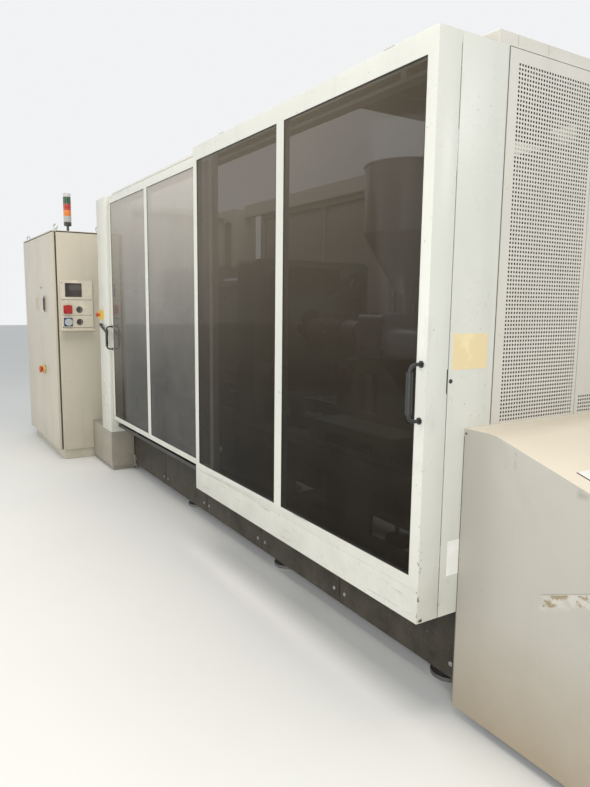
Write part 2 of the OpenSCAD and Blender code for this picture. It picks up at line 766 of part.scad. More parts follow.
module tie_bars() color("silver") place() {
  x = [block_x0 - nut_l - 10, fixed_x1 + nut_l + 10];
  along_x(x[0], x[1] - x[0]) tie_places() circle(tie_r);
  for (nut_x = [block_x0 - nut_l, fixed_x1]) along_x(nut_x, nut_l) tie_places() difference() {
    circle(nut_r);
    circle(tie_r);
    for (a = [0:60:300]) rotate(a) translate([nut_r, 0]) square([16, 18], center = true);
  }
}

module cylinder_platen() color("darkseagreen") place() difference() {
  pocket = 90;
  hub_r = 290;
  union() {
    platen(block_x0, block_t, tie_r + 0.2);
    platen_feet(block_x0, block_t, bed_z);
  }
  rod_x(block_x0 - 1, centre_y, centre_z, ram_r + run_gap, block_t + 2);
  for (a = [0:90:270]) translate([0, centre_y, centre_z]) rotate([a, 0, 0])
    along_x(block_x0 - 1, pocket + 1) platen_pocket(hub_r);
}

module clamp_cylinder() color("darkseagreen") place() {
  r = ram_r + cyl_wall;
  cap = 80;
  difference() {
    union() {
      rod_x(cyl_x0, centre_y, centre_z, r, cyl_l);
      rod_x(block_x0 - 50, centre_y, centre_z, r + 50, 50);
      rod_x(cyl_x0 + cap, centre_y, centre_z, r + 20, 60);
      block([cyl_x0 + cap + 60, centre_y - r * 0.7, bed_z],
        [cyl_x0 + cap + 180, centre_y + r * 0.7, centre_z]);
      block([cyl_x0 + cap + 20, bed_y, bed_z], [cyl_x0 + cap + 220, back_y, bed_z + 40]);
      translate([cyl_x0 + cap + 300, centre_y, centre_z]) cylinder(r = 90, h = r + 60);
    }
    rod_x(cyl_x0 + cap, centre_y, centre_z, ram_r + run_gap, cyl_l);
    along_x(block_x0 - 51, 60) for (a = [15:30:345])
      translate([centre_y, centre_z]) rotate(a) translate([r + 25, 0]) circle(14);
  }
}

module moving_platen() color("darkseagreen") place() difference() {
  box = 210;
  union() {
    platen(moving_x0, moving_t, tie_r + run_gap);
    platen_feet(moving_x0, moving_t, bed_z + ways_h + shoe_gap);
    along_x(moving_x0 - spider_l, spider_l) difference() {
      round_rect([centre_y - box, centre_z - box, centre_y + box, centre_z + box], 40);
      round_rect([centre_y - box + 60, centre_z - box + 60, centre_y + box - 60, centre_z + box - 60], 20);
    }
    rod_x(moving_x0 - spider_l - ram_flange_t, centre_y, centre_z, box, ram_flange_t);
  }
  along_x(moving_x1 - mould_hole_l, mould_hole_l + 1) fixing_circles();
  along_x(moving_x0 - 1, moving_t + 2) ejector_places() circle(rod_r + run_gap);
  along_y(0, guard_d)
    round_rect([moving_x0 - spider_l + 30, centre_z - 110, moving_x0 - 30, centre_z + 110], 30);
}

module ejector_places() for (p = [[0, 0], [1, 0], [-1, 0], [0, 1], [0, -1]])
  translate([centre_y + p[0] * 100, centre_z + p[1] * 100]) children();

module ejector_plate() color("silver") place() {
  half = 145;
  x = moving_x0 - spider_l + eject_gap;
  rod_x1 = moving_x1 - 4 * eject_gap;
  along_x(x, eject_plate_t)
    round_rect([centre_y - half, centre_z - half, centre_y + half, centre_z + half], 15);
  along_x(x + eject_plate_t, rod_x1 - x - eject_plate_t) ejector_places() circle(rod_r);
}

module clamp_ram() color("silver") place() rod_x(ram_x1 - ram_l, centre_y, centre_z, ram_r, ram_l);

// Rails on the bed, for the moving platen's feet and for the injection carriage
module slideways() color("silver") place() both_sides() {
  block([block_x1 + 5, ways_y, bed_z], [fixed_x0 - 5, ways_y + ways_w, bed_z + ways_h]);
  block([fixed_x1 + 180, ways_y, bed_z],
    [cross_x0 + cross_t + carriage_stroke + 40, ways_y + ways_w, bed_z + rails_h]);
}

module injection_carriage() color("darkseagreen") place() {
  x = [barrel_x1 - 120, cross_x0 + cross_t];
  top = centre_z - feed_h;
  z = saddle_z0;
  mid = [centre_y - jack_pitch / 2 - 70, centre_y + jack_pitch / 2 + 70];
  block([x[0], ways_y - 20, z], [x[1], guard_d - ways_y + 20, z + 50]);
  both_sides() for (sx = [x[0], x[1] - 140])
    block([sx, ways_y - 15, bed_z + rails_h + shoe_gap], [sx + 140, ways_y + ways_w + 15, z]);
  for (y = [mid[0], mid[1] - 40]) along_y(y, 40) difference() {
    polygon([[x[0] + 20, z + 50], [x[1] - 20, z + 50], [feed_x1, top - 30], [barrel_x1, top - 30]]);
    round_rect([barrel_x1 + 30, z + 90, feed_x1 - 10, top - 80], 20);
  }
  block([barrel_x1, mid[0], top - 30], [feed_x1, mid[1], top]);
  along_x(barrel_x1 + feed_l / 2 - 15, 30) rect([mid[0] + 40, z + 50, mid[1] - 40, top - 30]);
}

module feed_block() color("gray") place() difference() {
  half = jack_pitch / 2 + 70;
  along_x(barrel_x1, feed_l)
    round_rect([centre_y - half, centre_z - feed_h, centre_y + half, centre_z + feed_h], 25);
  rod_x(barrel_x1 - 1, centre_y, centre_z, screw_r + run_gap, feed_l + 2);
  translate([hopper_x, centre_y, centre_z]) cylinder(r = throat_r, h = feed_h + 1);
  for (s = [-1, 1]) rod_y(barrel_x1 + 50, s < 0 ? centre_y - half - 1 : centre_y + half - 39,
    centre_z - 70, 12, 40);
}

module barrel() color("gray") place() difference() {
  union() {
    rod_x(fixed_x1 - nose_l, centre_y, centre_z, barrel_r, barrel_l + nose_l);
    rod_x(barrel_x1 - barrel_flange_t, centre_y, centre_z, barrel_r + 40, barrel_flange_t);
    rod_x(fixed_x1 - nose_l, centre_y, centre_z, barrel_r + 12, 2 * nose_l);
  }
  rod_x(fixed_x1 - nose_l - 1, centre_y, centre_z, screw_r + run_gap, barrel_l + nose_l + 2);
  along_x(barrel_x1 - barrel_flange_t - 1, barrel_flange_t + 2) for (a = [30:60:330])
    translate([centre_y, centre_z]) rotate(a) translate([barrel_r + 24, 0]) circle(8);
}

module nozzle() color("silver") place() difference() {
  x = fixed_x1 - nose_l;
  l = fixed_t - ring_depth - nose_l - 8;
  translate([x, centre_y, centre_z]) rotate([0, -90, 0]) union() {
    cylinder(r = 34, h = l * 0.75);
    translate([0, 0, l * 0.25]) cylinder(r = 42, h = 30, $fn = 6);
    translate([0, 0, l * 0.75]) cylinder(r1 = 34, r2 = 10, h = l * 0.25);
  }
  rod_x(x - l - 1, centre_y, centre_z, 4, l + 2);
}

module heater_bands() color("silver") place() {
  n = 4;
  room = barrel_l - barrel_flange_t - nose_l - 20;
  for (i = [0:n - 1]) {
    x = fixed_x1 + nose_l + 10 + i * room / n;
    w = room / n - 24;
    difference() {
      union() {
        rod_x(x, centre_y, centre_z, barrel_r + 14, w);
        block([x + w / 2 - 20, centre_y - 22, centre_z + barrel_r], [x + w / 2 + 20, centre_y + 22,
          centre_z + barrel_r + 60]);
        for (e = [0.15, 0.85]) block([x + w * e - 8, centre_y - barrel_r - 30, centre_z - 10],
          [x + w * e + 8, centre_y - barrel_r, centre_z + 10]);
      }
      rod_x(x - 1, centre_y, centre_z, barrel_r + 0.2, w + 2);
    }
  }
}

module hopper() color("silver") place() {
  z0 = centre_z + feed_h;
  cone_z = z0 + 110;
  cone_h = 320;
  wall_z = cone_z + cone_h;
  wall = 3;
  bead = 6;
  translate([hopper_x, centre_y, 0]) rotate_extrude() polygon([
    [throat_r, z0], [90, z0], [90, z0 + 12], [throat_r + wall, z0 + 12], [throat_r + wall, cone_z],
    [hopper_r, wall_z], [hopper_r, hopper_z - bead], [hopper_r + bead, hopper_z - bead],
    [hopper_r + bead, hopper_z], [hopper_r - wall, hopper_z], [hopper_r - wall, wall_z + 1],
    [throat_r, cone_z + 1]
  ]);
  block([lid_hinge_x - 8, centre_y - 31, hopper_z - 40], [hopper_x - hopper_r + 2, centre_y + 31, hopper_z]);
  for (s = [-1, 1]) along_y(centre_y + s * 27 - 4, 8) difference() {
    rect([lid_hinge_x - 8, hopper_z - 1, lid_hinge_x + 8, lid_hinge_z + 8]);
    translate([lid_hinge_x, lid_hinge_z]) circle(lid_pin_r + run_gap);
  }
  for (s = [-1, 1]) block([hopper_x - 12, centre_y + s * 75 - 8, z0 + 12],
    [hopper_x + 12, centre_y + s * 75 + 8, z0 + 60]);
}

module hopper_lid() color("silver") place() {
  z = hopper_z + shoe_gap;
  translate([hopper_x, centre_y, z]) rotate_extrude() polygon([
    [0, 0], [hopper_r + 5, 0], [hopper_r + 5, 4], [hopper_r - 20, 10], [20, 22], [14, 40], [22, 52], [0, 52]
  ]);
  block([lid_hinge_x, centre_y - 22, z], [hopper_x - hopper_r + 20, centre_y + 22, z + 4]);
  rod_y(lid_hinge_x, centre_y - 22, lid_hinge_z, lid_knuckle_r, 44);
  rod_y(lid_hinge_x, centre_y - 31, lid_hinge_z, lid_pin_r, 62);
}

module jack_places() for (s = [-1, 1]) translate([centre_y + s * jack_pitch / 2, centre_z]) children();
module injection_cylinders() color("gray") place() difference() {
  union() {
    along_x(feed_x1, jack_l) jack_places() circle(jack_r);
    along_x(feed_x1, 25) jack_places() square(2 * jack_r + 14, center = true);
    along_x(feed_x1 + jack_l - jack_head_t, jack_head_t) jack_places() circle(jack_r + 8);
  }
  along_x(feed_x1 + 10, jack_l - jack_head_t - 10) jack_places() circle(jack_r - 15);
  along_x(feed_x1 + 10, jack_l) jack_places() circle(22 + run_gap);
}

module injection_crosshead() color("darkseagreen") place() {
  half = jack_pitch / 2 + 60;
  piston_x = cross_x0 - 15 - jack_head_t - inject_stroke - jack_piston_t;
  difference() {
    along_x(cross_x0, cross_t)
      round_rect([centre_y - half, centre_z - 100, centre_y + half, centre_z + 100], 40);
    rod_x(cross_x0 - 1, centre_y, centre_z, screw_r + run_gap, cross_t + 2);
  }
  along_x(piston_x, cross_x0 - piston_x) jack_places() circle(22);
  along_x(piston_x, jack_piston_t) jack_places() circle(jack_r - 15 - run_gap);
}

module screw_motor() color("gray") place() {
  x = cross_x0 + cross_t;
  face_t = 25;
  body_l = 50;
  rod_x(x, centre_y, centre_z, 95, face_t);
  rod_x(x + face_t, centre_y, centre_z, 82, body_l);
  rod_x(x + face_t + body_l, centre_y, centre_z, 60, face_t);
  for (s = [-1, 1]) translate([x + face_t + body_l / 2, centre_y + s * 35, centre_z])
    cylinder(r = 18, h = 105);
}

// The flight is a helical rib round the root, with a plain shank behind it
module screw() color("silver") place() {
  x0 = fixed_x1 + 10;
  flight = barrel_l - 30;
  turns = flight / screw_pitch;
  lap = 3;
  shank_l = cross_x0 + cross_t - 5 - x0 - flight;
  rib_r = screw_r - 0.3;
  rib_w = screw_r * 0.6;
  translate([x0, centre_y, centre_z]) rotate([0, 90, 0])
    linear_extrude(flight, twist = -360 * turns, slices = ceil(9 * turns), $fn = 9) {
      circle(screw_r * 0.66);
      polygon([[0, -rib_w / 2], [rib_r - 3, -rib_w / 2], [rib_r, 0], [rib_r - 3, rib_w / 2], [0, rib_w / 2]]);
    }
  rod_x(x0 + flight - lap, centre_y, centre_z, screw_r, shank_l + lap);
}

module cabinet_body() color("wheat") place() {
  inset = 25;
  z = [plinth_h, cab_h - roof_t - cab_skin];
  difference() {
    block([cab_x0 + inset, body_front + inset, 0], [cab_x1 - inset, cab_back - inset, plinth_h]);
    block([cab_x0 + inset + cab_skin, body_front + inset + cab_skin, -1],
      [cab_x1 - inset - cab_skin, cab_back - inset - cab_skin, plinth_h - cab_skin]);
  }
  difference() {
    block([cab_x0, body_front, z[0]], [cab_x1, cab_back, z[1]]);
    block([cab_x0 + cab_skin, body_front + cab_skin, z[0] + cab_skin],
      [cab_x1 - cab_skin, cab_back - cab_skin, z[1] - cab_skin]);
    for (x = [cab_x0, cab_mid]) along_y(body_front - 1, cab_skin + 2) round_rect(
      [x + 30, z[0] + 35, x + cab_l / 2 - 30, z[1] - 35], 10);
  }
  difference() {
    block([cab_x0, cab_front - cab_door_t, cab_h - roof_t], [cab_x1, cab_back, cab_h]);
    block([cab_x0 + 4, cab_front - cab_door_t + 4, cab_h - roof_t - 1],
      [cab_x1 - 4, cab_back - 4, cab_h - 3]);
  }
  difference() {
    block([cab_x0 + 8, body_front + 4, z[1]], [cab_x1 - 8, cab_back - 8, cab_h - 2]);
    block([cab_x0 + 8 + cab_skin, body_front + 4 + cab_skin, z[1] - 1],
      [cab_x1 - 8 - cab_skin, cab_back - 8 - cab_skin, cab_h]);
  }
  // Plates that the door pins turn in
  for (x = hinge_xs, z = [plinth_h, cab_h - roof_t]) difference() {
    block([x < cab_mid ? cab_x0 : cab_x1 - 20, cab_front - cab_door_t, z],
      [x < cab_mid ? cab_x0 + 20 : cab_x1, body_front + 1, z + hinge_plate_t]);
    translate([x, hinge_y, z - 1]) cylinder(r = hinge_pin_r + run_gap, h = hinge_plate_t + 2);
  }
}

module cabinet_gasket() color("black") place() for (x = [cab_x0, cab_mid])
  along_y(cab_front + 0.3, gasket_t - 0.3)
    ring([x + 20, plinth_h + 25, x + cab_l / 2 - 20, cab_h - 40], -10, 0);

module mounting_plate() color("silver") place() {
  edge = 30;
  plate_t = 3;
  y = cab_back - 30;
  x = [cab_x0 + 60, cab_x1 - 60];
  margin = 80;
  z = [plinth_h + margin, cab_h - 1.5 * margin];
  block([x[0], y, z[0]], [x[1], y + plate_t, z[1]]);
  for (px = [x[0] + edge, x[1] - edge], pz = [z[0] + edge, z[1] - edge])
    rod_y(px, y + plate_t, pz, 8, cab_back - cab_skin - y - plate_t);
  rows = 6;
  cols = 10;
  step = (z[1] - z[0] - 80) / rows;
  pitch = (x[1] - x[0] - 80) / cols;
  duct = [60, 40];
  for (i = [0:rows])
    block([x[0] + 20, y - duct[0], z[0] + i * step], [x[1] - 20, y, z[0] + i * step + duct[1]]);
  for (i = [0:rows - 1], j = [0:cols - 1]) {
    deep = duct[0] + 25 * ((i + j) % 3);
    block([x[0] + 40 + j * pitch, y - deep, z[0] + i * step + 2 * duct[1]],
      [x[0] + 20 + (j + 1) * pitch, y, z[0] + (i + 1) * step - duct[1]]);
  }
}

module cabinet_door(x0, x1) translate([0, cab_front - cab_door_t, 0])
  leaf([x0, door_z[0], x1, door_z[1]], [], cab_door_t);

// Hinge pins of one cabinet door, above and below it, with the blocks that hold them
module hinge_pins(x, edge) {
  side = x < edge ? [edge - 2 * hinge_in, edge] : [edge, edge + 2 * hinge_in];
  pin_z = [plinth_h + 1, cab_h - roof_t + hinge_plate_t - 1];
  for (z = [door_z[0], door_z[1] - 15])
    block([side[0], cab_front - cab_door_t, z], [side[1], cab_front, z + 15]);
  for (z = [[pin_z[0], door_z[0] + 1], [door_z[1] - 1, pin_z[1]]])
    translate([x, hinge_y, z[0]]) cylinder(r = hinge_pin_r, h = z[1] - z[0]);
}

// A flush handle plate with its lever, on the outside of a cabinet door
module lever_plate(x, w) {
  y = cab_front - cab_door_t;
  z = handle_z + 200;
  block([x - w / 2, y - 5, z], [x + w / 2, y, z + 145]);
  block([x - 10, y - 16, z + 15], [x + 10, y, z + 130]);
}

module cabinet_right_door() color("wheat") place() {
  y = cab_front - cab_door_t - collar_t;
  difference() {
    union() {
      cabinet_door(cab_mid + 2, cab_x1);
      hinge_pins(hinge_xs[1], cab_x1);
      rod_y(cab_stop_x, y, cab_stop_z, 30, collar_t + 12);
      lever_plate(cab_x1 - 390, 100);
    }
    rod_y(cab_stop_x, y - 1, cab_stop_z, stop_bore_r, stop_bore_l + 1);
  }
}

module cabinet_left_door() color("wheat") place() {
  cabinet_door(cab_x0, cab_mid - 2);
  hinge_pins(hinge_xs[0], cab_x0);
  lever_plate(cab_mid - 80, 80);
}

// Push heads of the emergency stops: the stem runs in its box, the cap stands off it
module stop_head(x, y, z) {
  cap = stop_out - stop_travel - 8;
  rod_y(x, y - stop_out + cap - 4, z, stem_r, stop_out - cap + 4 + stem_in);
  translate([x, y - stop_out, z]) rotate([-90, 0, 0]) rotate_extrude() polygon([
    [0, 0], [stop_r * 0.5, 0], [stop_r * 0.85, 3], [stop_r, 8],
    [stop_r, cap - 4], [stop_r * 0.6, cap], [0, cap]
  ]);
}
module column_stop_box() color("gold") place() difference() {
  y = column_y - stop_box_t;
  half = stop_box / 2;
  block([column_stop_x - half, y, column_stop_z - half],
    [column_stop_x + half, column_y, column_stop_z + half]);
  rod_y(column_stop_x, y - 1, column_stop_z, stop_bore_r, stop_bore_l + 1);
}
module column_stop() color("red") place()
  stop_head(column_stop_x, column_y - stop_box_t, column_stop_z);
module cabinet_stop() color("red") place()
  stop_head(cab_stop_x, cab_front - cab_door_t - collar_t, cab_stop_z);

module socket_unit() color("wheat") place() {
  face = cab_x1 + unit_t;
  difference() {
    block([cab_x1, unit_y[0], unit_z[0]], [face, unit_y[1], unit_z[1]]);
    block([face - 6, unit_y[0] + 40, unit_z[0] + 310], [face + 1, unit_y[1] - 100, unit_z[1] - 25]);
    for (z = socket_z) rod_x(face - 20, socket_y + 110, z, 22, 30);
    rod_x(face - 24, socket_y, socket_z[0], socket_hole_r, 30);
  }
  block([cab_x1, unit_y[0], unit_z[0] - 12], [face + 57, unit_y[1], unit_z[0]]);
  for (z = socket_z) difference() {
    block([face, socket_y - 40, z - 40], [face + 8, socket_y + 40, z + 40]);
    rod_x(face - 1, socket_y, z, socket_hole_r, 20);
  }
  difference() {
    rod_x(face, socket_y, socket_z[0], socket_hole_r + 6, socket_out);
    rod_x(face - 1, socket_y, socket_z[0], socket_hole_r, socket_out + 2);
  }
  rod_x(face, socket_y, socket_z[1], socket_hole_r + 6, socket_out + 4);
}
module socket_flap() color("red") place() {
  x = cab_x1 + unit_t + socket_out + shoe_gap;
  hinge_z = socket_z[0] + 40;
  rod_x(x, socket_y, socket_z[0], socket_hole_r + 8, 5);
  rod_y(x + 4, socket_y - 18, hinge_z, 4, 36);
  block([x, socket_y - 14, hinge_z - 10], [x + 5, socket_y + 14, hinge_z]);
}

// Signal beacon: a pole, a black base, four lenses with a groove between them and a cap
module beacon() color("dimgray") place() translate(beacon_at) {
  base_z = 95;
  h = (beacon_h - base_z - 5) / 4;
  groove = beacon_r - 2;
  rotate_extrude() polygon(concat(
    [[0, 0], [40, 0], [40, 6], [12, 10], [12, base_z - 40], [beacon_r, base_z - 33], [beacon_r, base_z]],
    [for (i = [0:3], p = [[groove, 1], [beacon_r, 4], [beacon_r, h - 2], [groove, h]])
      [p[0], base_z + i * h + p[1]]],
    [[beacon_r, base_z + 4 * h + 2], [beacon_r - 8, beacon_h], [0, beacon_h]]
  ));
}

module lifting_eyes() color("silver") place() {
  inset = 50;
  eye_r = 20;
  wire_r = 6;
  for (x = [cab_x0 + inset, cab_x1 - inset], y = [cab_front + inset / 2, cab_back - inset])
    translate([x, y, cab_h]) {
      cylinder(r = eye_r, h = wire_r);
      cylinder(r = wire_r + 2, h = eye_r);
      translate([0, 0, 2 * eye_r - 2]) rotate([90, 0, 45])
        rotate_extrude() translate([eye_r, 0]) circle(wire_r);
    }
}

bed_sides();
bed_ribs();
levelling_feet();
base_panels();
base_box();
oil_tank();
pump_motor();
oil_pump();
end_hood();
far_end_frame();
near_columns();
guard_cross_rails();
vent_panels();
roof_cover();
door_rails();
rear_panel();
near_door_frame();
near_door_panes();
near_door_handle();
near_door_carriers();
far_door_frame();
far_door_panes();
far_door_handle();
far_door_carriers();
rear_door_frame();
rear_door_panes();
rear_door_handle();
rear_door_carriers();
door_latch();
fixed_platen();
tie_bars();
cylinder_platen();
clamp_cylinder();
slideways();
moving_platen();
clamp_ram();
ejector_plate();
injection_carriage();
feed_block();
barrel();
nozzle();
heater_bands();
hopper();
hopper_lid();
injection_cylinders();
injection_crosshead();
screw_motor();
screw();
cabinet_body();
cabinet_gasket();
mounting_plate();
socket_unit();
socket_flap();
beacon();
lifting_eyes();
cabinet_right_door();
cabinet_left_door();
column_stop_box();
column_stop();
cabinet_stop();
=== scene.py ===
import json
import math

import bmesh
import bpy
from mathutils import Matrix, Vector

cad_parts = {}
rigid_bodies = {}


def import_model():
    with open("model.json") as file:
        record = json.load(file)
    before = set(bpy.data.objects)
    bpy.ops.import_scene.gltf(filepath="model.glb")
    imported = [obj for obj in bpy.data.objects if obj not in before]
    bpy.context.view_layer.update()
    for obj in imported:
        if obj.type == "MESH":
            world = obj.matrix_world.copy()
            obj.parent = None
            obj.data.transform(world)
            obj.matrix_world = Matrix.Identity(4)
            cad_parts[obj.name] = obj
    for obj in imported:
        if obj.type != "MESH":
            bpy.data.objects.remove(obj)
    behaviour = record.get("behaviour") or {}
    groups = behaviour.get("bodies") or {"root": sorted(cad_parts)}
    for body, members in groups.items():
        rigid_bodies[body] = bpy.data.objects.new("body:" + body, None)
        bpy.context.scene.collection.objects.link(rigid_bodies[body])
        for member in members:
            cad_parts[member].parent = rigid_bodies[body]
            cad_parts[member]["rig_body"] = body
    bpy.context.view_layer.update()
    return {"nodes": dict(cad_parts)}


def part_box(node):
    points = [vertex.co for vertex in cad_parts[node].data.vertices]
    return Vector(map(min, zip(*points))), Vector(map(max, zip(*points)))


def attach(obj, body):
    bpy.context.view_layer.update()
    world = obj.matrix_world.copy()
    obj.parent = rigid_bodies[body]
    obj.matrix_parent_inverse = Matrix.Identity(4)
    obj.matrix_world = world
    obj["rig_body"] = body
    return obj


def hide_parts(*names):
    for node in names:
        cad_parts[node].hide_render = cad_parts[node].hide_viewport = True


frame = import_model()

bl_info = {
    "name": "Injection moulding machine finish",
    "version": (1, 0, 0),
    "blender": (4, 5, 0),
    "location": "View3D > Sidebar > Machine",
    "description": "Paint, panes, perforated panels, plates, fasteners and studio for the packed machine",
    "category": "Object",
}

nodes = frame["nodes"]
door_low, door_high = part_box("near_door_frame")
corner = Vector((door_high.x, door_low.y, 0))


def at(x, y, z):
    """A point measured from the guard's near front corner on the floor."""
    return corner + Vector((x, y, z))


# Measures of the machine in metres, the hood's slope in radians and the number of bed panels

UNIT_DEPTH = 0.038
SOCKET_HEIGHTS = (1.49, 1.37)
HOOD_TOP = 1.13
HOOD_LEVEL_LENGTH = 0.27
HOOD_SLOPE = math.atan(0.245 / 0.81)
FIRST_HOLE_HEIGHT = 1.136
CAP_HEIGHTS = (2.476, 2.512)
BEACON_HEIGHT = 0.4
BED_PANELS = 5
FLOOR_DROP = 0.001


# Sizes and colours


def colour(label, text, red, green, blue):
    """A paint colour that a user can change."""
    return bpy.props.FloatVectorProperty(
        name=label, description=text, subtype="COLOR", size=3, min=0, max=1, default=(red, green, blue)
    )


def length(label, text, metres):
    """A size in metres that a user can change."""
    return bpy.props.FloatProperty(name=label, description=text, unit="LENGTH", min=0, default=metres)


def share(label, text, amount):
    """An amount from none to full."""
    return bpy.props.FloatProperty(
        name=label, description=text, subtype="FACTOR", min=0, max=1, default=amount
    )


def tally(label, text, number):
    """A number of like things."""
    return bpy.props.IntProperty(name=label, description=text, min=1, default=number)


def power(label, text, watts):
    """A lamp's power."""
    return bpy.props.FloatProperty(name=label, description=text, unit="POWER", min=0, default=watts)


def bearing(label, text, radians):
    """An angle that a user can change."""
    return bpy.props.FloatProperty(name=label, description=text, subtype="ANGLE", default=radians)


class PaintColours(bpy.types.PropertyGroup):
    """Paint of the guard, the bed, the castings and the cabinet."""

    guard: colour("Guard", "White paint of the doors and columns", 0.68, 0.68, 0.615)
    panels: colour("Perforated panels", "Warm white of the panels and the roof", 0.63, 0.605, 0.54)
    hood: colour("Hood", "Grey-white paint of the hood's sides", 0.445, 0.425, 0.375)
    # The hood top's cream is lighter than the grey sides partly by its own paint and partly as painted light
    # from above.
    hood_top: colour("Hood top", "Cream of the hood's level top and slope", 0.74, 0.665, 0.54)
    # The bed panels' near-black colour is partly their dark paint and partly painted shade from under the
    # guard.
    skirts: colour("Bed panels", "Paint of the panels along the bed", 0.026, 0.024, 0.018)
    # The inside colour is painted shade for the faces inside the guard, not their own paint.
    inside: colour("Inside", "Oily grey of the faces inside the guard", 0.050, 0.047, 0.042)
    bed: colour("Bed", "Dark paint of the bed's frame", 0.10, 0.105, 0.11)
    casting: colour("Castings", "Green paint of the platens and the carriage", 0.20, 0.26, 0.21)
    motor: colour("Motors", "Blue paint of the motors", 0.06, 0.12, 0.24)
    cabinet: colour("Cabinet", "Beige paint of the control cabinet", 0.565, 0.52, 0.425)
    dirt: colour("Dirt", "Colour of grime and dust", 0.20, 0.17, 0.13)


class PaneLooks(bpy.types.PropertyGroup):
    """Tinted panes in the doors, lighter towards the top as painted reflection, under a dusty film."""

    # The high colours hold painted reflection: the panes lighten up to them towards the top.
    low: colour("Near low", "Near panes at their lower edge", 0.005, 0.0035, 0.002)
    high: colour("Near high", "Near panes at their upper edge", 0.118, 0.096, 0.069)
    far_low: colour("Far low", "Far and rear panes at their lower edge", 0.008, 0.008, 0.008)
    far_high: colour("Far high", "Far and rear panes at their upper edge", 0.50, 0.46, 0.40)
    cover: share("Cover", "How much of what lies behind them the near panes hide", 0.68)
    far_cover: share("Far cover", "How much of what lies behind them the far panes hide", 0.70)
    shine: share("Shine", "Gloss of the near panes", 0.06)
    far_shine: share("Far shine", "Gloss of the far and rear panes", 0.20)


class PerforationSizes(bpy.types.PropertyGroup):
    """Perforated end panels."""

    pitch: length("Pitch", "Distance between holes", 0.015)
    hole: length("Hole radius", "Radius of one hole", 0.005)
    sheet: length("Sheet", "Thickness of the panel", 0.0015)
    tray: length("Tray", "Depth of the folded edge", 0.025)
    columns: tally("Columns", "Holes across a panel", 29)
    rows: tally("Rows", "Holes up the first panel", 86)
    short_rows: tally("Short rows", "Holes up the second panel", 5)


class FoldSizes(bpy.types.PropertyGroup):
    """Bends along the folded sheet's corners."""

    bend: length("Bend", "Outer radius of a folded corner", 0.003)
    steps: tally("Steps", "Faces across one bend", 3)


class PlateColours(bpy.types.PropertyGroup):
    """Bare plates, lock and stops."""

    label: colour("Label plate", "Pale yellow of the bare label plate", 0.76, 0.62, 0.36)
    white: colour("White plates", "White of the bare plates", 0.80, 0.79, 0.74)
    yellow: colour("Stop yellow", "Yellow of the stop's box and collar", 0.68, 0.45, 0.06)
    red: colour("Stop red", "Red of the push heads", 0.50, 0.055, 0.02)
    socket_red: colour("Socket red", "Red of the upper socket", 0.40, 0.02, 0.02)
    socket_blue: colour("Socket blue", "Blue of the lower socket", 0.02, 0.035, 0.14)


class StudioSettings(bpy.types.PropertyGroup):
    """Floor, lamps and camera."""

    floor: colour("Floor", "Colour of the studio floor", 0.80, 0.80, 0.78)
    key: power("Key", "Power of the key lamp", 210)
    fill: power("Fill", "Power of the fill lamp", 114)
    top: power("Top", "Power of the top lamp", 270)
    window: power("Window", "Power of the lamp that glances off the near end", 26)
    ambient: share("Ambient", "Strength of the even light from all round", 0.60)
    lens: bpy.props.FloatProperty(name="Lens", description="Focal length", unit="CAMERA", default=29.4)
    heading: bearing("Heading", "Turn of the camera from +Y towards -X", 1.01561)
    tilt: bearing("Tilt", "How far the camera looks down", 0.13945)
    roll: bearing("Roll", "Turn about the line of sight", 0.01134)
    stand: bpy.props.FloatVectorProperty(
        name="Stand",
        description="Place of the camera, from the guard's near front corner",
        subtype="TRANSLATION",
        default=(1.634, -1.544, 1.575),
    )


GROUPS = {
    "machine_paint": PaintColours,
    "machine_panes": PaneLooks,
    "machine_perforation": PerforationSizes,
    "machine_folds": FoldSizes,
    "machine_plates": PlateColours,
    "machine_studio": StudioSettings,
}


# Finishes


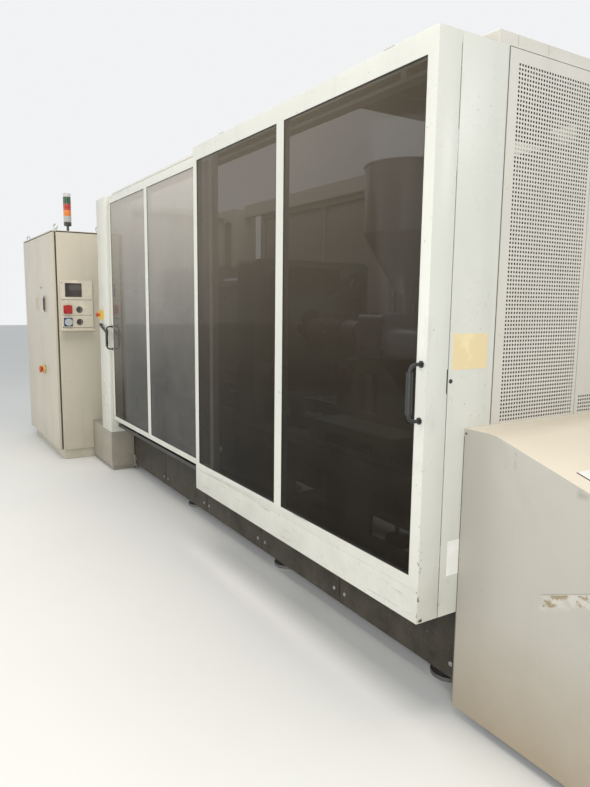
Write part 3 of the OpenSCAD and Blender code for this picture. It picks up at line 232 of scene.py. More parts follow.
class Finish:
    """A node material being built; its patterns lie in the piece's own coordinates."""

    def __init__(self, name, roughness=0.5, metallic=0.0):
        self.material = bpy.data.materials.new(name)
        self.material.use_nodes = True
        self.tree = self.material.node_tree
        self.tree.nodes.clear()
        self.shader = self.add("BsdfPrincipled")
        self.feed(self.add("OutputMaterial").inputs["Surface"], self.shader.outputs["BSDF"])
        self.set("Roughness", roughness)
        self.set("Metallic", metallic)
        self.place = self.add("TexCoord").outputs["Object"]
        split = self.add("SeparateXYZ")
        self.feed(split.inputs[0], self.place)
        self.x, self.y, self.z = split.outputs

    def add(self, kind):
        return self.tree.nodes.new("ShaderNode" + kind)

    def feed(self, socket, value):
        if isinstance(value, bpy.types.NodeSocket):
            self.tree.links.new(value, socket)
        elif hasattr(value, "__len__") and len(value) == 3 and socket.type == "RGBA":
            socket.default_value = (*value, 1)
        else:
            socket.default_value = value

    def set(self, name, value):
        self.feed(self.shader.inputs[name], value)

    def noise(self, scale, detail=3.0, stretch=None, rough=0.55):
        node = self.add("TexNoise")
        source = self.place
        if stretch:
            mapping = self.add("Mapping")
            self.feed(mapping.inputs["Vector"], source)
            mapping.inputs["Scale"].default_value = stretch
            source = mapping.outputs["Vector"]
        self.feed(node.inputs["Vector"], source)
        node.inputs["Scale"].default_value = scale
        node.inputs["Detail"].default_value = detail
        node.inputs["Roughness"].default_value = rough
        return node.outputs["Fac"]

    def span(self, value, low, high, bottom=0.0, top=1.0):
        """value from low to high becomes bottom to top, held at both ends."""
        node = self.add("MapRange")
        for socket, number in zip(node.inputs, (value, low, high, bottom, top)):
            self.feed(socket, number)
        return node.outputs["Result"]

    def maths(self, operation, first, second=0.0):
        node = self.add("Math")
        node.operation = operation
        self.feed(node.inputs[0], first)
        self.feed(node.inputs[1], second)
        return node.outputs[0]

    def times(self, product, *factors):
        for factor in factors:
            product = self.maths("MULTIPLY", product, factor)
        return product

    def mix(self, amount, first, second):
        node = self.add("Mix")
        node.data_type = "RGBA"
        self.feed(node.inputs[0], amount)
        self.feed(node.inputs[6], first)
        self.feed(node.inputs[7], second)
        return node.outputs[2]

    def bump(self, height, distance, strength=1.0):
        node = self.add("Bump")
        self.feed(node.inputs["Height"], height)
        node.inputs["Distance"].default_value = distance
        node.inputs["Strength"].default_value = strength
        self.set("Normal", node.outputs["Normal"])

    def over(self, amount, tint):
        """Lays another colour over what the finish has so far."""
        skin = self.shader.inputs["Base Color"].links[0].from_socket
        self.set("Base Color", self.mix(amount, skin, tint))

    def outward(self, axis):
        """How far the surface faces along one axis."""
        split = self.add("SeparateXYZ")
        self.feed(split.inputs[0], self.add("NewGeometry").outputs["Normal"])
        return split.outputs[axis]

    def inside(self, low, high, soft=0.02):
        """One inside a box from low to high, fading to none over soft metres."""
        found = None
        for axis, start, end in zip((self.x, self.y, self.z), low, high):
            rise = self.span(axis, start - soft, start)
            fall = self.span(axis, end, end + soft, 1, 0)
            part = self.times(rise, fall)
            found = part if found is None else self.times(found, part)
        return found


def shaded(tint, amount):
    """A colour made darker or lighter by one factor."""
    return tuple(min(1, channel * amount) for channel in tint)


def painted(name, tint, dirt, roughness, streaks=0.30, grime=0.45, foot=0.0, cast=0.0):
    """Sprayed paint on sheet or castings, with runs of dirt, specks and a dirtier foot."""
    made = Finish(name)
    cloud = made.span(made.noise(0.9, 4), 0.36, 0.72)
    skin = made.mix(cloud, tint, shaded(tint, 0.93))
    runs = made.span(made.noise(1, 5, (8, 8, 0.5)), 0.54, 0.78)
    skin = made.mix(made.times(runs, streaks), skin, shaded(tint, 0.72))
    smear = made.times(made.span(made.noise(3.1, 6, rough=0.65), 0.56, 0.74), 0.22)
    skin = made.mix(smear, skin, shaded(tint, 0.80))
    dots = made.times(made.span(made.noise(48, 2), 0.70, 0.75), 0.35)
    skin = made.mix(dots, skin, dirt)
    low = made.span(made.z, foot + 0.42, foot)
    soil = made.times(low, made.span(made.noise(5, 6, rough=0.7), 0.30, 0.70), grime)
    skin = made.mix(soil, skin, dirt)
    made.set("Base Color", skin)
    wear = made.span(made.noise(2.3, 5), 0.3, 0.7, roughness - 0.06, roughness + 0.10)
    made.set("Roughness", wear)
    grain = made.noise(420, 2)
    if cast:
        grain = made.maths("ADD", made.times(grain, 0.35), made.noise(95, 4))
        made.bump(grain, 0.0012, cast)
    else:
        made.bump(grain, 0.0004, 0.06)
    return made


def metal(name, tint, roughness, stretch, oil=0.25):
    """Machined or drawn steel with fine tool marks and a film of oil."""
    made = Finish(name, metallic=1.0)
    marks = made.noise(60, 5, stretch, 0.6)
    skin = made.mix(made.span(marks, 0.3, 0.7), shaded(tint, 0.86), tint)
    film = made.times(made.span(made.noise(7, 5), 0.48, 0.7), oil)
    skin = made.mix(film, skin, shaded(tint, 0.45))
    made.set("Base Color", skin)
    made.set("Roughness", made.span(marks, 0.25, 0.75, roughness - 0.06, roughness + 0.12))
    made.bump(marks, 0.0003, 0.15)
    return made


def moulded(name, tint, roughness, grain=220, depth=0.12):
    """Moulded plastic or rubber with a fine grain and handling marks."""
    made = Finish(name)
    marks = made.span(made.noise(11, 5), 0.5, 0.72)
    skin = made.mix(made.times(marks, 0.4), tint, shaded(tint, 1.5))
    made.set("Base Color", skin)
    made.set("Roughness", made.span(made.noise(23, 4), 0.3, 0.7, roughness - 0.05, roughness + 0.12))
    made.bump(made.noise(grain, 2), 0.0004, depth)
    return made


def tinted_pane(name, low_tint, high_tint, cover, shine, low, high, reflection_spread):
    """Smoked acrylic whose tint lightens from corner low to corner high and from left to right as painted
    reflection, with wiping marks and runs.
    """
    made = Finish(name, roughness=0.08)
    # Painted reflection: the tint lightens towards the top, scaled across the pane by the reflection spread.
    rise = made.maths("POWER", made.span(made.z, low.z, high.z), 1.5)
    rise = made.times(rise, made.span(made.x, low.x, high.x, *reflection_spread))
    body = made.mix(rise, low_tint, high_tint)
    film = made.span(made.noise(1.6, 5, (1, 1, 0.7), 0.62), 0.40, 0.74)
    wipes = made.span(made.noise(2.2, 6, (1.2, 1, 5.5), 0.7), 0.52, 0.72)
    runs = made.span(made.noise(1, 6, (26, 1, 0.9)), 0.55, 0.78)
    dust = made.maths("ADD", made.times(film, 0.45), made.times(wipes, 0.20))
    dust = made.maths("ADD", dust, made.times(runs, 0.22))
    dust = made.maths("MINIMUM", dust, 1.0)
    made.set("Base Color", made.mix(made.times(dust, 0.16), body, shaded(high_tint, 1.8)))
    made.set("Roughness", made.span(dust, 0.1, 1.0, 0.04, 0.16))
    made.set("Specular IOR Level", shine)
    made.set("Alpha", cover)
    made.bump(made.noise(2.4, 2), 0.01, 0.03)
    made.material.surface_render_method = "DITHERED"
    return made


finishes = {}


def dress(finish, *names):
    """Gives CAD nodes one finish."""
    for name in names:
        node = nodes[name]
        if not node.material_slots:
            node.data.materials.append(finish.material)
        for slot in node.material_slots:
            slot.material = finish.material


# Mesh helpers


def facing(direction, origin):
    """A placing matrix whose local Z runs along direction and whose local Y runs up the surface."""
    out = Vector(direction).normalized()
    up = Vector((0, 0, 1)) if abs(out.z) < 0.99 else Vector((0, 1, 0))
    across = up.cross(out).normalized()
    up = out.cross(across)
    turn = Matrix((across, up, out)).transposed().to_4x4()
    return Matrix.Translation(origin) @ turn


def hold(name, mesh_or_bm, finish, body, smooth=False):
    """Makes a finished piece from a mesh, gives it its finish and lets it ride on its body."""
    if isinstance(mesh_or_bm, bmesh.types.BMesh):
        mesh = bpy.data.meshes.new(name)
        mesh_or_bm.to_mesh(mesh)
        mesh_or_bm.free()
    else:
        mesh = mesh_or_bm
    mesh.name = name
    mesh.materials.clear()
    mesh.materials.append(finish.material)
    if smooth:
        mesh.shade_smooth()
        mesh.set_sharp_from_angle(angle=math.radians(35))
    piece = bpy.data.objects.new(name, mesh)
    bpy.context.scene.collection.objects.link(piece)
    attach(piece, body)
    return piece


def rounded(width, height, radius, steps=5):
    """Outline of a rectangle with round corners, about its middle."""
    outline = []
    for turn, (sx, sy) in enumerate(((1, 1), (-1, 1), (-1, -1), (1, -1))):
        middle = Vector((sx * (width / 2 - radius), sy * (height / 2 - radius)))
        for step in range(steps + 1):
            angle = math.pi / 2 * (turn + step / steps)
            outline.append(middle + radius * Vector((math.cos(angle), math.sin(angle))))
    return outline


def add_slab(bm, outline, depth, place, edge=0.0):
    """Adds a plate of one outline, standing on the placing matrix's surface, with broken edges."""
    steps = [(0, 0), (depth - edge, 0)]
    if edge:
        steps.append((depth, edge))
    rings = []
    size = [max(abs(p[i]) for p in outline) for i in (0, 1)]
    for lift, inset in steps:
        wide, high = [(size[i] - inset) / size[i] for i in (0, 1)]
        rings.append([bm.verts.new(place @ Vector((p[0] * wide, p[1] * high, lift))) for p in outline])
    count = len(outline)
    for lower, upper in zip(rings, rings[1:]):
        for i in range(count):
            j = (i + 1) % count
            bm.faces.new((lower[i], lower[j], upper[j], upper[i]))
    bm.faces.new(rings[-1])
    bm.faces.new(list(reversed(rings[0])))


def add_ring(bm, outer, inner, depth, place):
    """Adds a flat ring between two outlines of equally many points, standing on a surface."""
    loops = [
        [bm.verts.new(place @ Vector((p[0], p[1], lift))) for p in outline]
        for outline, lift in ((outer, 0), (outer, depth), (inner, depth), (inner, 0))
    ]
    count = len(outer)
    for first, second in zip(loops, loops[1:] + loops[:1]):
        for i in range(count):
            j = (i + 1) % count
            bm.faces.new((first[i], first[j], second[j], second[i]))


def strip(name, finish, body, start, end, width, direction, height=0.0006):
    """A thin straight strip from start to end on a surface that faces direction."""
    middle = (start + end) / 2
    along = end - start
    place = facing(direction, middle)
    local = place.inverted().to_3x3() @ along
    size = [max(abs(local.x), width), max(abs(local.y), width)]
    bm = bmesh.new()
    add_slab(bm, rounded(size[0], size[1], width * 0.2, 1), height, place)
    return hold(name, bm, finish, body)


def add_turned(bm, profile, place, steps):
    """Adds a turned shape: profile is (radius, height) pairs, from the foot's middle to the top's."""
    rings = []
    for radius, lift in profile:
        if radius < 1e-6:
            rings.append([bm.verts.new(place @ Vector((0, 0, lift)))])
            continue
        ring = []
        for step in range(steps):
            angle = 2 * math.pi * step / steps
            spot = Vector((radius * math.cos(angle), radius * math.sin(angle), lift))
            ring.append(bm.verts.new(place @ spot))
        rings.append(ring)
    for lower, upper in zip(rings, rings[1:]):
        for i in range(steps):
            j = (i + 1) % steps
            if len(lower) == 1 and len(upper) == 1:
                continue
            if len(lower) == 1:
                bm.faces.new((lower[0], upper[j], upper[i]))
            elif len(upper) == 1:
                bm.faces.new((lower[i], lower[j], upper[0]))
            else:
                bm.faces.new((lower[i], lower[j], upper[j], upper[i]))


def plate(name, finish, body, size, radius, depth, place, edge):
    """A plate with round corners and broken edges, standing on a surface."""
    bm = bmesh.new()
    add_slab(bm, rounded(*size, radius), depth, place, edge)
    return hold(name, bm, finish, body)


def turned(name, finish, body, profile, place, steps=24):
    """One turned piece, standing on a surface."""
    bm = bmesh.new()
    add_turned(bm, profile, place, steps)
    return hold(name, bm, finish, body, smooth=True)


def folded_copy(name, bend, steps):
    """Stands a copy with bent corners in for a CAD node of folded sheet."""
    shortest_edge = 0.03
    narrowest_face = 0.012
    least_angle = math.radians(50)
    node = nodes[name]
    bm = bmesh.new()
    bm.from_mesh(node.data)
    bmesh.ops.remove_doubles(bm, verts=bm.verts, dist=1e-5)
    bmesh.ops.dissolve_limit(
        bm, angle_limit=math.radians(0.5), verts=bm.verts, edges=bm.edges, use_dissolve_boundaries=False
    )
    bm.normal_update()
    chosen = []
    for edge in bm.edges:
        if len(edge.link_faces) != 2 or not edge.is_convex or edge.calc_length() < shortest_edge:
            continue
        if edge.calc_face_angle(0) < least_angle:
            continue
        if all(face.calc_area() / edge.calc_length() > narrowest_face for face in edge.link_faces):
            chosen.append(edge)
    bmesh.ops.bevel(
        bm, geom=chosen, offset=bend, segments=steps, affect="EDGES", profile=0.5, clamp_overlap=True
    )
    for face in bm.faces:
        face.smooth = face.calc_area() < bend * max(edge.calc_length() for edge in face.edges)
    mesh = bpy.data.meshes.new("bent_" + name)
    bm.to_mesh(mesh)
    bm.free()
    packed_normals = mesh.attributes.get("custom_normal")
    if packed_normals:
        mesh.attributes.remove(packed_normals)
    mesh.materials.append(node.material_slots[0].material)
    mesh.set_sharp_from_angle(angle=math.radians(38))
    piece = bpy.data.objects.new("bent_" + name, mesh)
    bpy.context.scene.collection.objects.link(piece)
    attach(piece, node["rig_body"])
    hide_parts(name)
    return piece


# Repeating pieces


class Tree:
    """A geometry node tree being built, with named inputs."""

    def __init__(self, name, inputs):
        self.tree = bpy.data.node_groups.new(name, "GeometryNodeTree")
        for label, kind in inputs:
            self.tree.interface.new_socket(label, in_out="INPUT", socket_type="NodeSocket" + kind)
        self.tree.interface.new_socket("Result", in_out="OUTPUT", socket_type="NodeSocketGeometry")
        self.given = self.tree.nodes.new("NodeGroupInput").outputs
        self.result = self.tree.nodes.new("NodeGroupOutput").inputs[0]

    def add(self, kind, inputs=(), **settings):
        node = self.tree.nodes.new(kind)
        for key, value in settings.items():
            setattr(node, key, value)
        for key, value in dict(inputs).items():
            socket = node.inputs[key]
            if isinstance(value, bpy.types.NodeSocket):
                self.tree.links.new(value, socket)
            else:
                socket.default_value = value
        return node.outputs[0]

    def maths(self, operation, first, second):
        return self.add("ShaderNodeMath", {0: first, 1: second}, operation=operation)

    def upwards(self, height):
        return self.add("ShaderNodeCombineXYZ", {"Z": height})

    def join(self, *parts):
        node = self.tree.nodes.new("GeometryNodeJoinGeometry")
        for part in parts:
            self.tree.links.new(part, node.inputs[0])
        return node.outputs[0]

    def finish(self, geometry):
        solid = self.add("GeometryNodeRealizeInstances", {"Geometry": geometry})
        done = self.add("GeometryNodeSetMaterial", {"Geometry": solid, "Material": self.given["Finish"]})
        self.tree.links.new(done, self.result)
        return self.tree


def bolt_tree():
    """Heads with a washer, one on each point."""
    built = Tree(
        "Bolt heads",
        [
            ("Places", "Geometry"),
            ("Sides", "Int"),
            ("Radius", "Float"),
            ("Top radius", "Float"),
            ("Height", "Float"),
            ("Washer radius", "Float"),
            ("Washer height", "Float"),
            ("Turn", "Vector"),
            ("Finish", "Material"),
        ],
    )
    given = built.given
    lift = built.upwards(given["Washer height"])
    head = built.add(
        "GeometryNodeMeshCone",
        {
            "Vertices": given["Sides"],
            "Radius Top": given["Top radius"],
            "Radius Bottom": given["Radius"],
            "Depth": given["Height"],
        },
    )
    head = built.add("GeometryNodeTransform", {"Geometry": head, "Translation": lift})
    washer = built.add(
        "GeometryNodeMeshCone",
        {
            "Vertices": 20,
            "Radius Top": given["Washer radius"],
            "Radius Bottom": given["Washer radius"],
            "Depth": given["Washer height"],
        },
    )
    spread = built.add(
        "GeometryNodeInstanceOnPoints",
        {"Points": given["Places"], "Instance": built.join(head, washer), "Rotation": given["Turn"]},
    )
    return built.finish(spread)


def perforation_tree():
    """A field of round holes in sheet, about its middle, facing up."""
    built = Tree(
        "Perforated field",
        [
            ("Places", "Geometry"),
            ("Columns", "Int"),
            ("Rows", "Int"),
            ("Pitch", "Float"),
            ("Hole radius", "Float"),
            ("Sheet", "Float"),
            ("Finish", "Material"),
        ],
    )
    given = built.given
    hole = built.add("GeometryNodeCurvePrimitiveCircle", {"Resolution": 8, "Radius": given["Hole radius"]})
    cell = built.add(
        "GeometryNodeCurvePrimitiveQuadrilateral", {"Width": given["Pitch"], "Height": given["Pitch"]}
    )
    front = built.add("GeometryNodeFillCurve", {"Curve": built.join(hole, cell)})
    reach = built.add(
        "ShaderNodeVectorMath", {0: built.add("GeometryNodeInputPosition")}, operation="LENGTH"
    )
    reach = reach.node.outputs["Value"]
    limit = built.maths("MULTIPLY", given["Pitch"], 0.49)
    rim = built.add("FunctionNodeCompare", {0: reach, 1: limit}, operation="LESS_THAN")
    down = built.maths("MULTIPLY", given["Sheet"], -1.0)
    walls = built.add(
        "GeometryNodeExtrudeMesh",
        {
            "Mesh": front,
            "Selection": rim,
            "Offset": built.upwards(1.0),
            "Offset Scale": down,
        },
        mode="EDGES",
    )
    back = built.add("GeometryNodeTransform", {"Geometry": front, "Translation": built.upwards(down)})
    back = built.add("GeometryNodeFlipFaces", {"Mesh": back})
    across = built.maths("SUBTRACT", given["Columns"], 1)
    up = built.maths("SUBTRACT", given["Rows"], 1)
    grid = built.add(
        "GeometryNodeMeshGrid",
        {
            "Size X": built.maths("MULTIPLY", across, given["Pitch"]),
            "Size Y": built.maths("MULTIPLY", up, given["Pitch"]),
            "Vertices X": given["Columns"],
            "Vertices Y": given["Rows"],
        },
    )
    cells = built.join(walls, back)
    spread = built.add("GeometryNodeInstanceOnPoints", {"Points": grid, "Instance": cells})
    solid = built.add("GeometryNodeRealizeInstances", {"Geometry": spread})
    return built.finish(built.add("GeometryNodeMergeByDistance", {"Geometry": solid, "Distance": 0.00005}))


def grown(tree, places, values):
    """The plain mesh that a tree makes on some points."""
    mesh = bpy.data.meshes.new("places")
    mesh.from_pydata([tuple(p) for p in places], [], [])
    carrier = bpy.data.objects.new("places", mesh)
    bpy.context.scene.collection.objects.link(carrier)
    modifier = carrier.modifiers.new("Spread", "NODES")
    modifier.node_group = tree
    for item in tree.interface.items_tree:
        if item.item_type == "SOCKET" and item.in_out == "INPUT" and item.name in values:
            modifier[item.identifier] = values[item.name]
    bpy.context.view_layer.update()
    seen = carrier.evaluated_get(bpy.context.evaluated_depsgraph_get())
    result = bpy.data.meshes.new_from_object(seen)
    carrier.modifiers.remove(modifier)
    bpy.data.objects.remove(carrier)
    bpy.data.meshes.remove(mesh)
    if not len(result.polygons):
        raise RuntimeError("The tree " + tree.name + " made no faces")
    return result


trees = {}


def bolts(name, body, finish, places, direction, radius, height, washer=0.0, sides=6, top=0.9):
    """Equal fasteners on one body, as one piece."""
    if "bolts" not in trees:
        trees["bolts"] = bolt_tree()
    turn = facing(direction, Vector()).to_euler()
    values = {
        "Sides": sides,
        "Radius": radius,
        "Top radius": radius * top,
        "Height": height,
        "Washer radius": washer or radius * 0.8,
        "Washer height": 0.0015,
        "Turn": tuple(turn),
        "Finish": finish.material,
    }
    return hold(name, grown(trees["bolts"], places, values), finish, body)


# Operators


PAINTED_NODES = {
    "guard": ("far_end_frame", "near_columns", "far_door_frame", "rear_door_frame"),
    "near_door": ("near_door_frame",),
    "rear": ("rear_panel",),
    "panels": ("vent_panels",),
    "roof": ("roof_cover",),
    "door_rails": ("door_rails",),
    "hood": ("end_hood",),
    "skirts": ("base_panels",),
    "box": ("base_box",),
    # The guard's cross rails take the dark bed paint as painted shade behind the perforated panels.
    "bed": ("bed_sides", "bed_ribs", "guard_cross_rails"),
    "tank": ("oil_tank",),
    "casting": (
        "fixed_platen",
        "moving_platen",
        "cylinder_platen",
        "clamp_cylinder",
        "injection_carriage",
        "injection_crosshead",
    ),
    "motor": ("pump_motor", "screw_motor"),
    "cabinet": ("cabinet_body", "cabinet_right_door", "cabinet_left_door"),
    "steel": (
        "oil_pump",
        "slideways",
        "ejector_plate",
        "feed_block",
        "nozzle",
        "injection_cylinders",
        "screw",
        "lifting_eyes",
    ),
    "rail": ("near_door_carriers", "far_door_carriers", "rear_door_carriers"),
    "bright": ("tie_bars", "clamp_ram"),
    "barrel": ("barrel",),
    "hopper": ("hopper", "hopper_lid", "heater_bands"),
    "foot": ("levelling_feet",),
    "black": ("near_door_handle", "far_door_handle", "rear_door_handle", "door_latch"),
    "seal": ("cabinet_gasket",),
    "module": ("mounting_plate",),
    "unit": ("socket_unit",),
    "yellow": ("column_stop_box",),
    "red": ("column_stop", "cabinet_stop"),
    "flap": ("socket_flap",),
    "beacon": ("beacon",),
}


class MACHINE_OT_paint(bpy.types.Operator):
    """Mixes every finish and puts it on the CAD pieces."""

    bl_idname = "machine.paint"
    bl_label = "Paint all pieces"

    def execute(self, context):
        paint = context.scene.machine_paint
        plates = context.scene.machine_plates
        coat = {key: tuple(getattr(paint, key)) for key in PaintColours.__annotations__}
        guard, panels, skirts = coat["guard"], coat["panels"], coat["skirts"]
        bed, cabinet, dirt, inner = coat["bed"], coat["cabinet"], coat["dirt"], coat["inside"]
        for key, name, tint, roughness, wear in (
            ("guard", "guard_white", guard, 0.30, {"foot": 0.42, "grime": 0.25}),
            # The bed panels' colour holds painted shade as well as paint.
            ("skirts", "bed_panel_paint", skirts, 0.55, {"grime": 0.5}),
            ("bed", "bed_paint", bed, 0.5, {"grime": 0.6}),
            ("tank", "tank_paint", shaded(bed, 1.6), 0.45, {"grime": 0.6}),
            ("casting", "casting_green", coat["casting"], 0.45, {"cast": 0.5}),
            ("motor", "motor_blue", coat["motor"], 0.42, {}),
            ("cabinet", "cabinet_beige", cabinet, 0.40, {"grime": 0.35}),
            ("box", "box_beige", shaded(cabinet, 0.62), 0.45, {"grime": 0.8}),
        ):
            finishes[key] = painted(name, tint, dirt, roughness, **wear)
        finishes["skirts"].set("Specular IOR Level", 0.2)
        for key, name, tint, roughness, stretch, oil in (
            ("steel", "machined_steel", (0.52, 0.52, 0.52), 0.32, (1, 12, 12), 0.25),
            ("rail", "rail_steel", (0.34, 0.33, 0.32), 0.42, (0.4, 9, 9), 0.25),
            ("bright", "ground_steel", (0.70, 0.70, 0.71), 0.16, (0.5, 30, 30), 0.1),
            ("barrel", "heated_steel", (0.30, 0.27, 0.24), 0.42, (1, 8, 8), 0.25),
            ("hopper", "brushed_steel", (0.60, 0.60, 0.60), 0.30, (14, 14, 1), 0.25),
            ("foot", "cast_steel", (0.25, 0.24, 0.23), 0.5, (1, 1, 1), 0.5),
        ):
            finishes[key] = metal(name, tint, roughness, stretch, oil)
        for key, name, tint, roughness in (
            ("black", "black_plastic", (0.022, 0.022, 0.023), 0.42),
            ("seal", "seal_rubber", (0.018, 0.018, 0.018), 0.62),
            ("module", "module_grey", (0.36, 0.36, 0.34), 0.45),
            ("yellow", "stop_yellow", tuple(plates.yellow), 0.34),
            ("red", "stop_red", tuple(plates.red), 0.30),
            ("flap", "flap_red", tuple(plates.socket_red), 0.34),
        ):
            finishes[key] = moulded(name, tint, roughness)
        finishes["near_door"] = self.near_door(guard, dirt)
        finishes["rear"] = self.painted_inner_shade("rear_white", guard, dirt, "Y", inner)
        finishes["roof"] = self.painted_inner_shade("roof_white", panels, dirt, "Z", inner)
        finishes["panels"] = self.painted_inner_shade("panel_white", panels, dirt, "X", inner)
        finishes["door_rails"] = self.rails(guard, skirts, dirt)
        finishes["unit"] = self.unit(shaded(cabinet, 1.08), plates)
        finishes["hood"] = self.hood(coat["hood"], coat["hood_top"], dirt)
        finishes["beacon"] = self.beacon()
        for key, names in PAINTED_NODES.items():
            dress(finishes[key], *names)
        return {"FINISHED"}

    def near_door(self, tint, dirt):
        """The near door: chips at its lower corner, scratches on its skirt, rubbed paint by the handle."""
        made = painted("near_door_white", tint, dirt, 0.30, foot=0.42, grime=0.25)
        edge = made.inside(at(-0.010, -0.004, 0.43), at(0.002, 0.012, 0.80), 0.003)
        chips = made.span(made.noise(90, 2, (1, 1, 0.5)), 0.625, 0.65)
        made.over(made.times(edge, chips, 0.8), shaded(dirt, 0.5))
        nick = made.inside(at(-0.003, 0.012, 0.425), at(0.003, 0.026, 0.435), 0.002)
        made.over(nick, shaded(dirt, 0.4))
        skirt = made.inside(at(-2.0, -0.01, 0.43), at(-0.02, 0.01, 0.59))
        lines = made.span(made.noise(4, 3, (1, 1, 16)), 0.655, 0.675)
        made.over(made.times(skirt, lines, 0.45), dirt)
        grip = made.inside(at(-0.05, -0.01, 1.02), at(0.002, 0.04, 1.50), 0.04)
        rubs = made.span(made.noise(16, 5, (1, 1, 0.4), 0.65), 0.50, 0.62)
        made.over(made.times(grip, rubs, 0.12), dirt)
        return made

    def painted_inner_shade(self, name, tint, dirt, axis, inner):
        """White sheet whose inner side, against an axis, is darkened as painted shade."""
        made = painted(name, tint, dirt, 0.36, streaks=0.25, grime=0.1)
        # Painted shade on the faces that turn against the axis.
        made.over(made.span(made.outward(axis), -0.3, -0.6), inner)
        return made

    def rails(self, upper, lower, dirt):
        """The door rails: white above the doors, dark below them in the bed panels' colour, partly paint and
        partly painted shade.
        """
        made = painted("rail_paint", upper, dirt, 0.40, grime=0.2)
        # Below the doors: the bed panels' colour with its painted shade.
        made.over(made.span(made.z, 1.6, 1.5), lower)
        return made

    def unit(self, tint, plates):
        """The socket unit, with its red and blue sockets and the pale lid on the lower one."""
        made = moulded("unit_beige", tint, 0.42)
        low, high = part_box("socket_flap")
        upper, lower = (Vector((low.x, (low.y + high.y) / 2, z)) for z in SOCKET_HEIGHTS)
        body = Vector((0.029, 0.042, 0.042))
        lid = Vector((0.02, 0.05, 0.05))
        for spot, reach, shade in (
            (upper, body, plates.socket_red),
            (lower, body, plates.socket_blue),
            (lower, lid, (0.42, 0.46, 0.47)),
        ):
            made.over(made.inside(spot - reach, spot + reach, 0.001), tuple(shade))
        return made

    def hood(self, side, top, dirt):
        """The hood: cream level top and slope, lighter partly as painted light from above; greyer sides with
        a scraped patch and a painted floor reflection at the foot.
        """
        floor_reflection_brown, filler, stain = (0.33, 0.245, 0.145), (0.60, 0.58, 0.52), (0.29, 0.23, 0.14)
        made = painted("hood_paint", side, dirt, 0.34, streaks=0.20, foot=0.04, grime=0.35)
        # A warm painted floor reflection on the lower sides, strongest at the foot and gone by 0.54 m.
        foot = made.times(made.span(made.z, 0.54, 0.0), made.span(made.noise(1.4, 4), 0.25, 0.6, 0.6, 1.0))
        made.over(made.times(foot, 0.75), floor_reflection_brown)
        blotch = made.span(made.noise(2.6, 5), 0.45, 0.72)
        cream = made.mix(made.times(blotch, 0.5), top, shaded(top, 0.86))
        # Painted light from above: faces turned up take the lighter cream.
        made.over(made.span(made.outward("Z"), 0.3, 0.6), cream)
        along = made.maths("SUBTRACT", made.x, at(0.366, 0, 0).x)
        level = made.maths("ADD", made.z, made.times(along, -0.42))
        band = made.times(made.span(level, 0.575, 0.595), made.span(level, 0.633, 0.643, 1, 0))
        patch = made.times(band, made.inside(at(0.375, 0.18, 0.5), at(0.60, 0.22, 0.8), 0.02))
        made.over(made.times(patch, made.span(made.noise(20, 5), 0.42, 0.54, 0.05, 0.5)), filler)
        grain = made.times(made.noise(26, 5, (1, 1, 1.8), 0.65), 0.6)
        torn = made.maths("ADD", made.times(patch, 0.5), grain)
        made.over(made.span(torn, 0.79, 0.83), stain)
        line = made.times(made.span(level, 0.634, 0.637), made.span(level, 0.639, 0.642, 1, 0))
        made.over(made.times(patch, line, 0.8), shaded(dirt, 0.7))
        rubbed = made.span(made.noise(30, 4), 0.42, 0.58)
        smudge = made.inside(at(0.478, 0.19, 1.003), at(0.498, 0.21, 1.020), 0.015)
        run = made.inside(at(0.232, 0.19, 1.03), at(0.235, 0.21, 1.085), 0.005)
        marks = made.maths("ADD", smudge, made.times(run, 0.7))
        made.over(made.times(marks, made.times(rubbed, 0.4)), dirt)
        return made

    def beacon(self):
        """Beacon lenses, their colours stacked along its height."""
        made = Finish("beacon_lenses", roughness=0.18)
        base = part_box("beacon")[0].z
        bands = (
            (0.000, (0.030, 0.030, 0.032)),
            (0.095, (0.42, 0.42, 0.41)),
            (0.152, (0.72, 0.20, 0.02)),
            (0.209, (0.45, 0.03, 0.02)),
            (0.267, (0.03, 0.09, 0.045)),
            (0.335, (0.62, 0.61, 0.58)),
        )
        ramp = made.add("ValToRGB")
        ramp.color_ramp.interpolation = "CONSTANT"
        while len(ramp.color_ramp.elements) < len(bands):
            ramp.color_ramp.elements.new(0.9)
        for element, (lift, band) in zip(ramp.color_ramp.elements, bands):
            element.position = lift / BEACON_HEIGHT
            element.color = (*band, 1)
        made.feed(ramp.inputs[0], made.span(made.z, base, base + BEACON_HEIGHT))
        ribs = made.maths("SINE", made.times(made.z, 1500))
        dust = made.times(made.span(made.noise(30, 4), 0.45, 0.7), 0.25)
        made.set("Base Color", made.mix(dust, ramp.outputs["Color"], (0.30, 0.27, 0.23)))
        made.bump(ribs, 0.0006, 0.25)
        return made


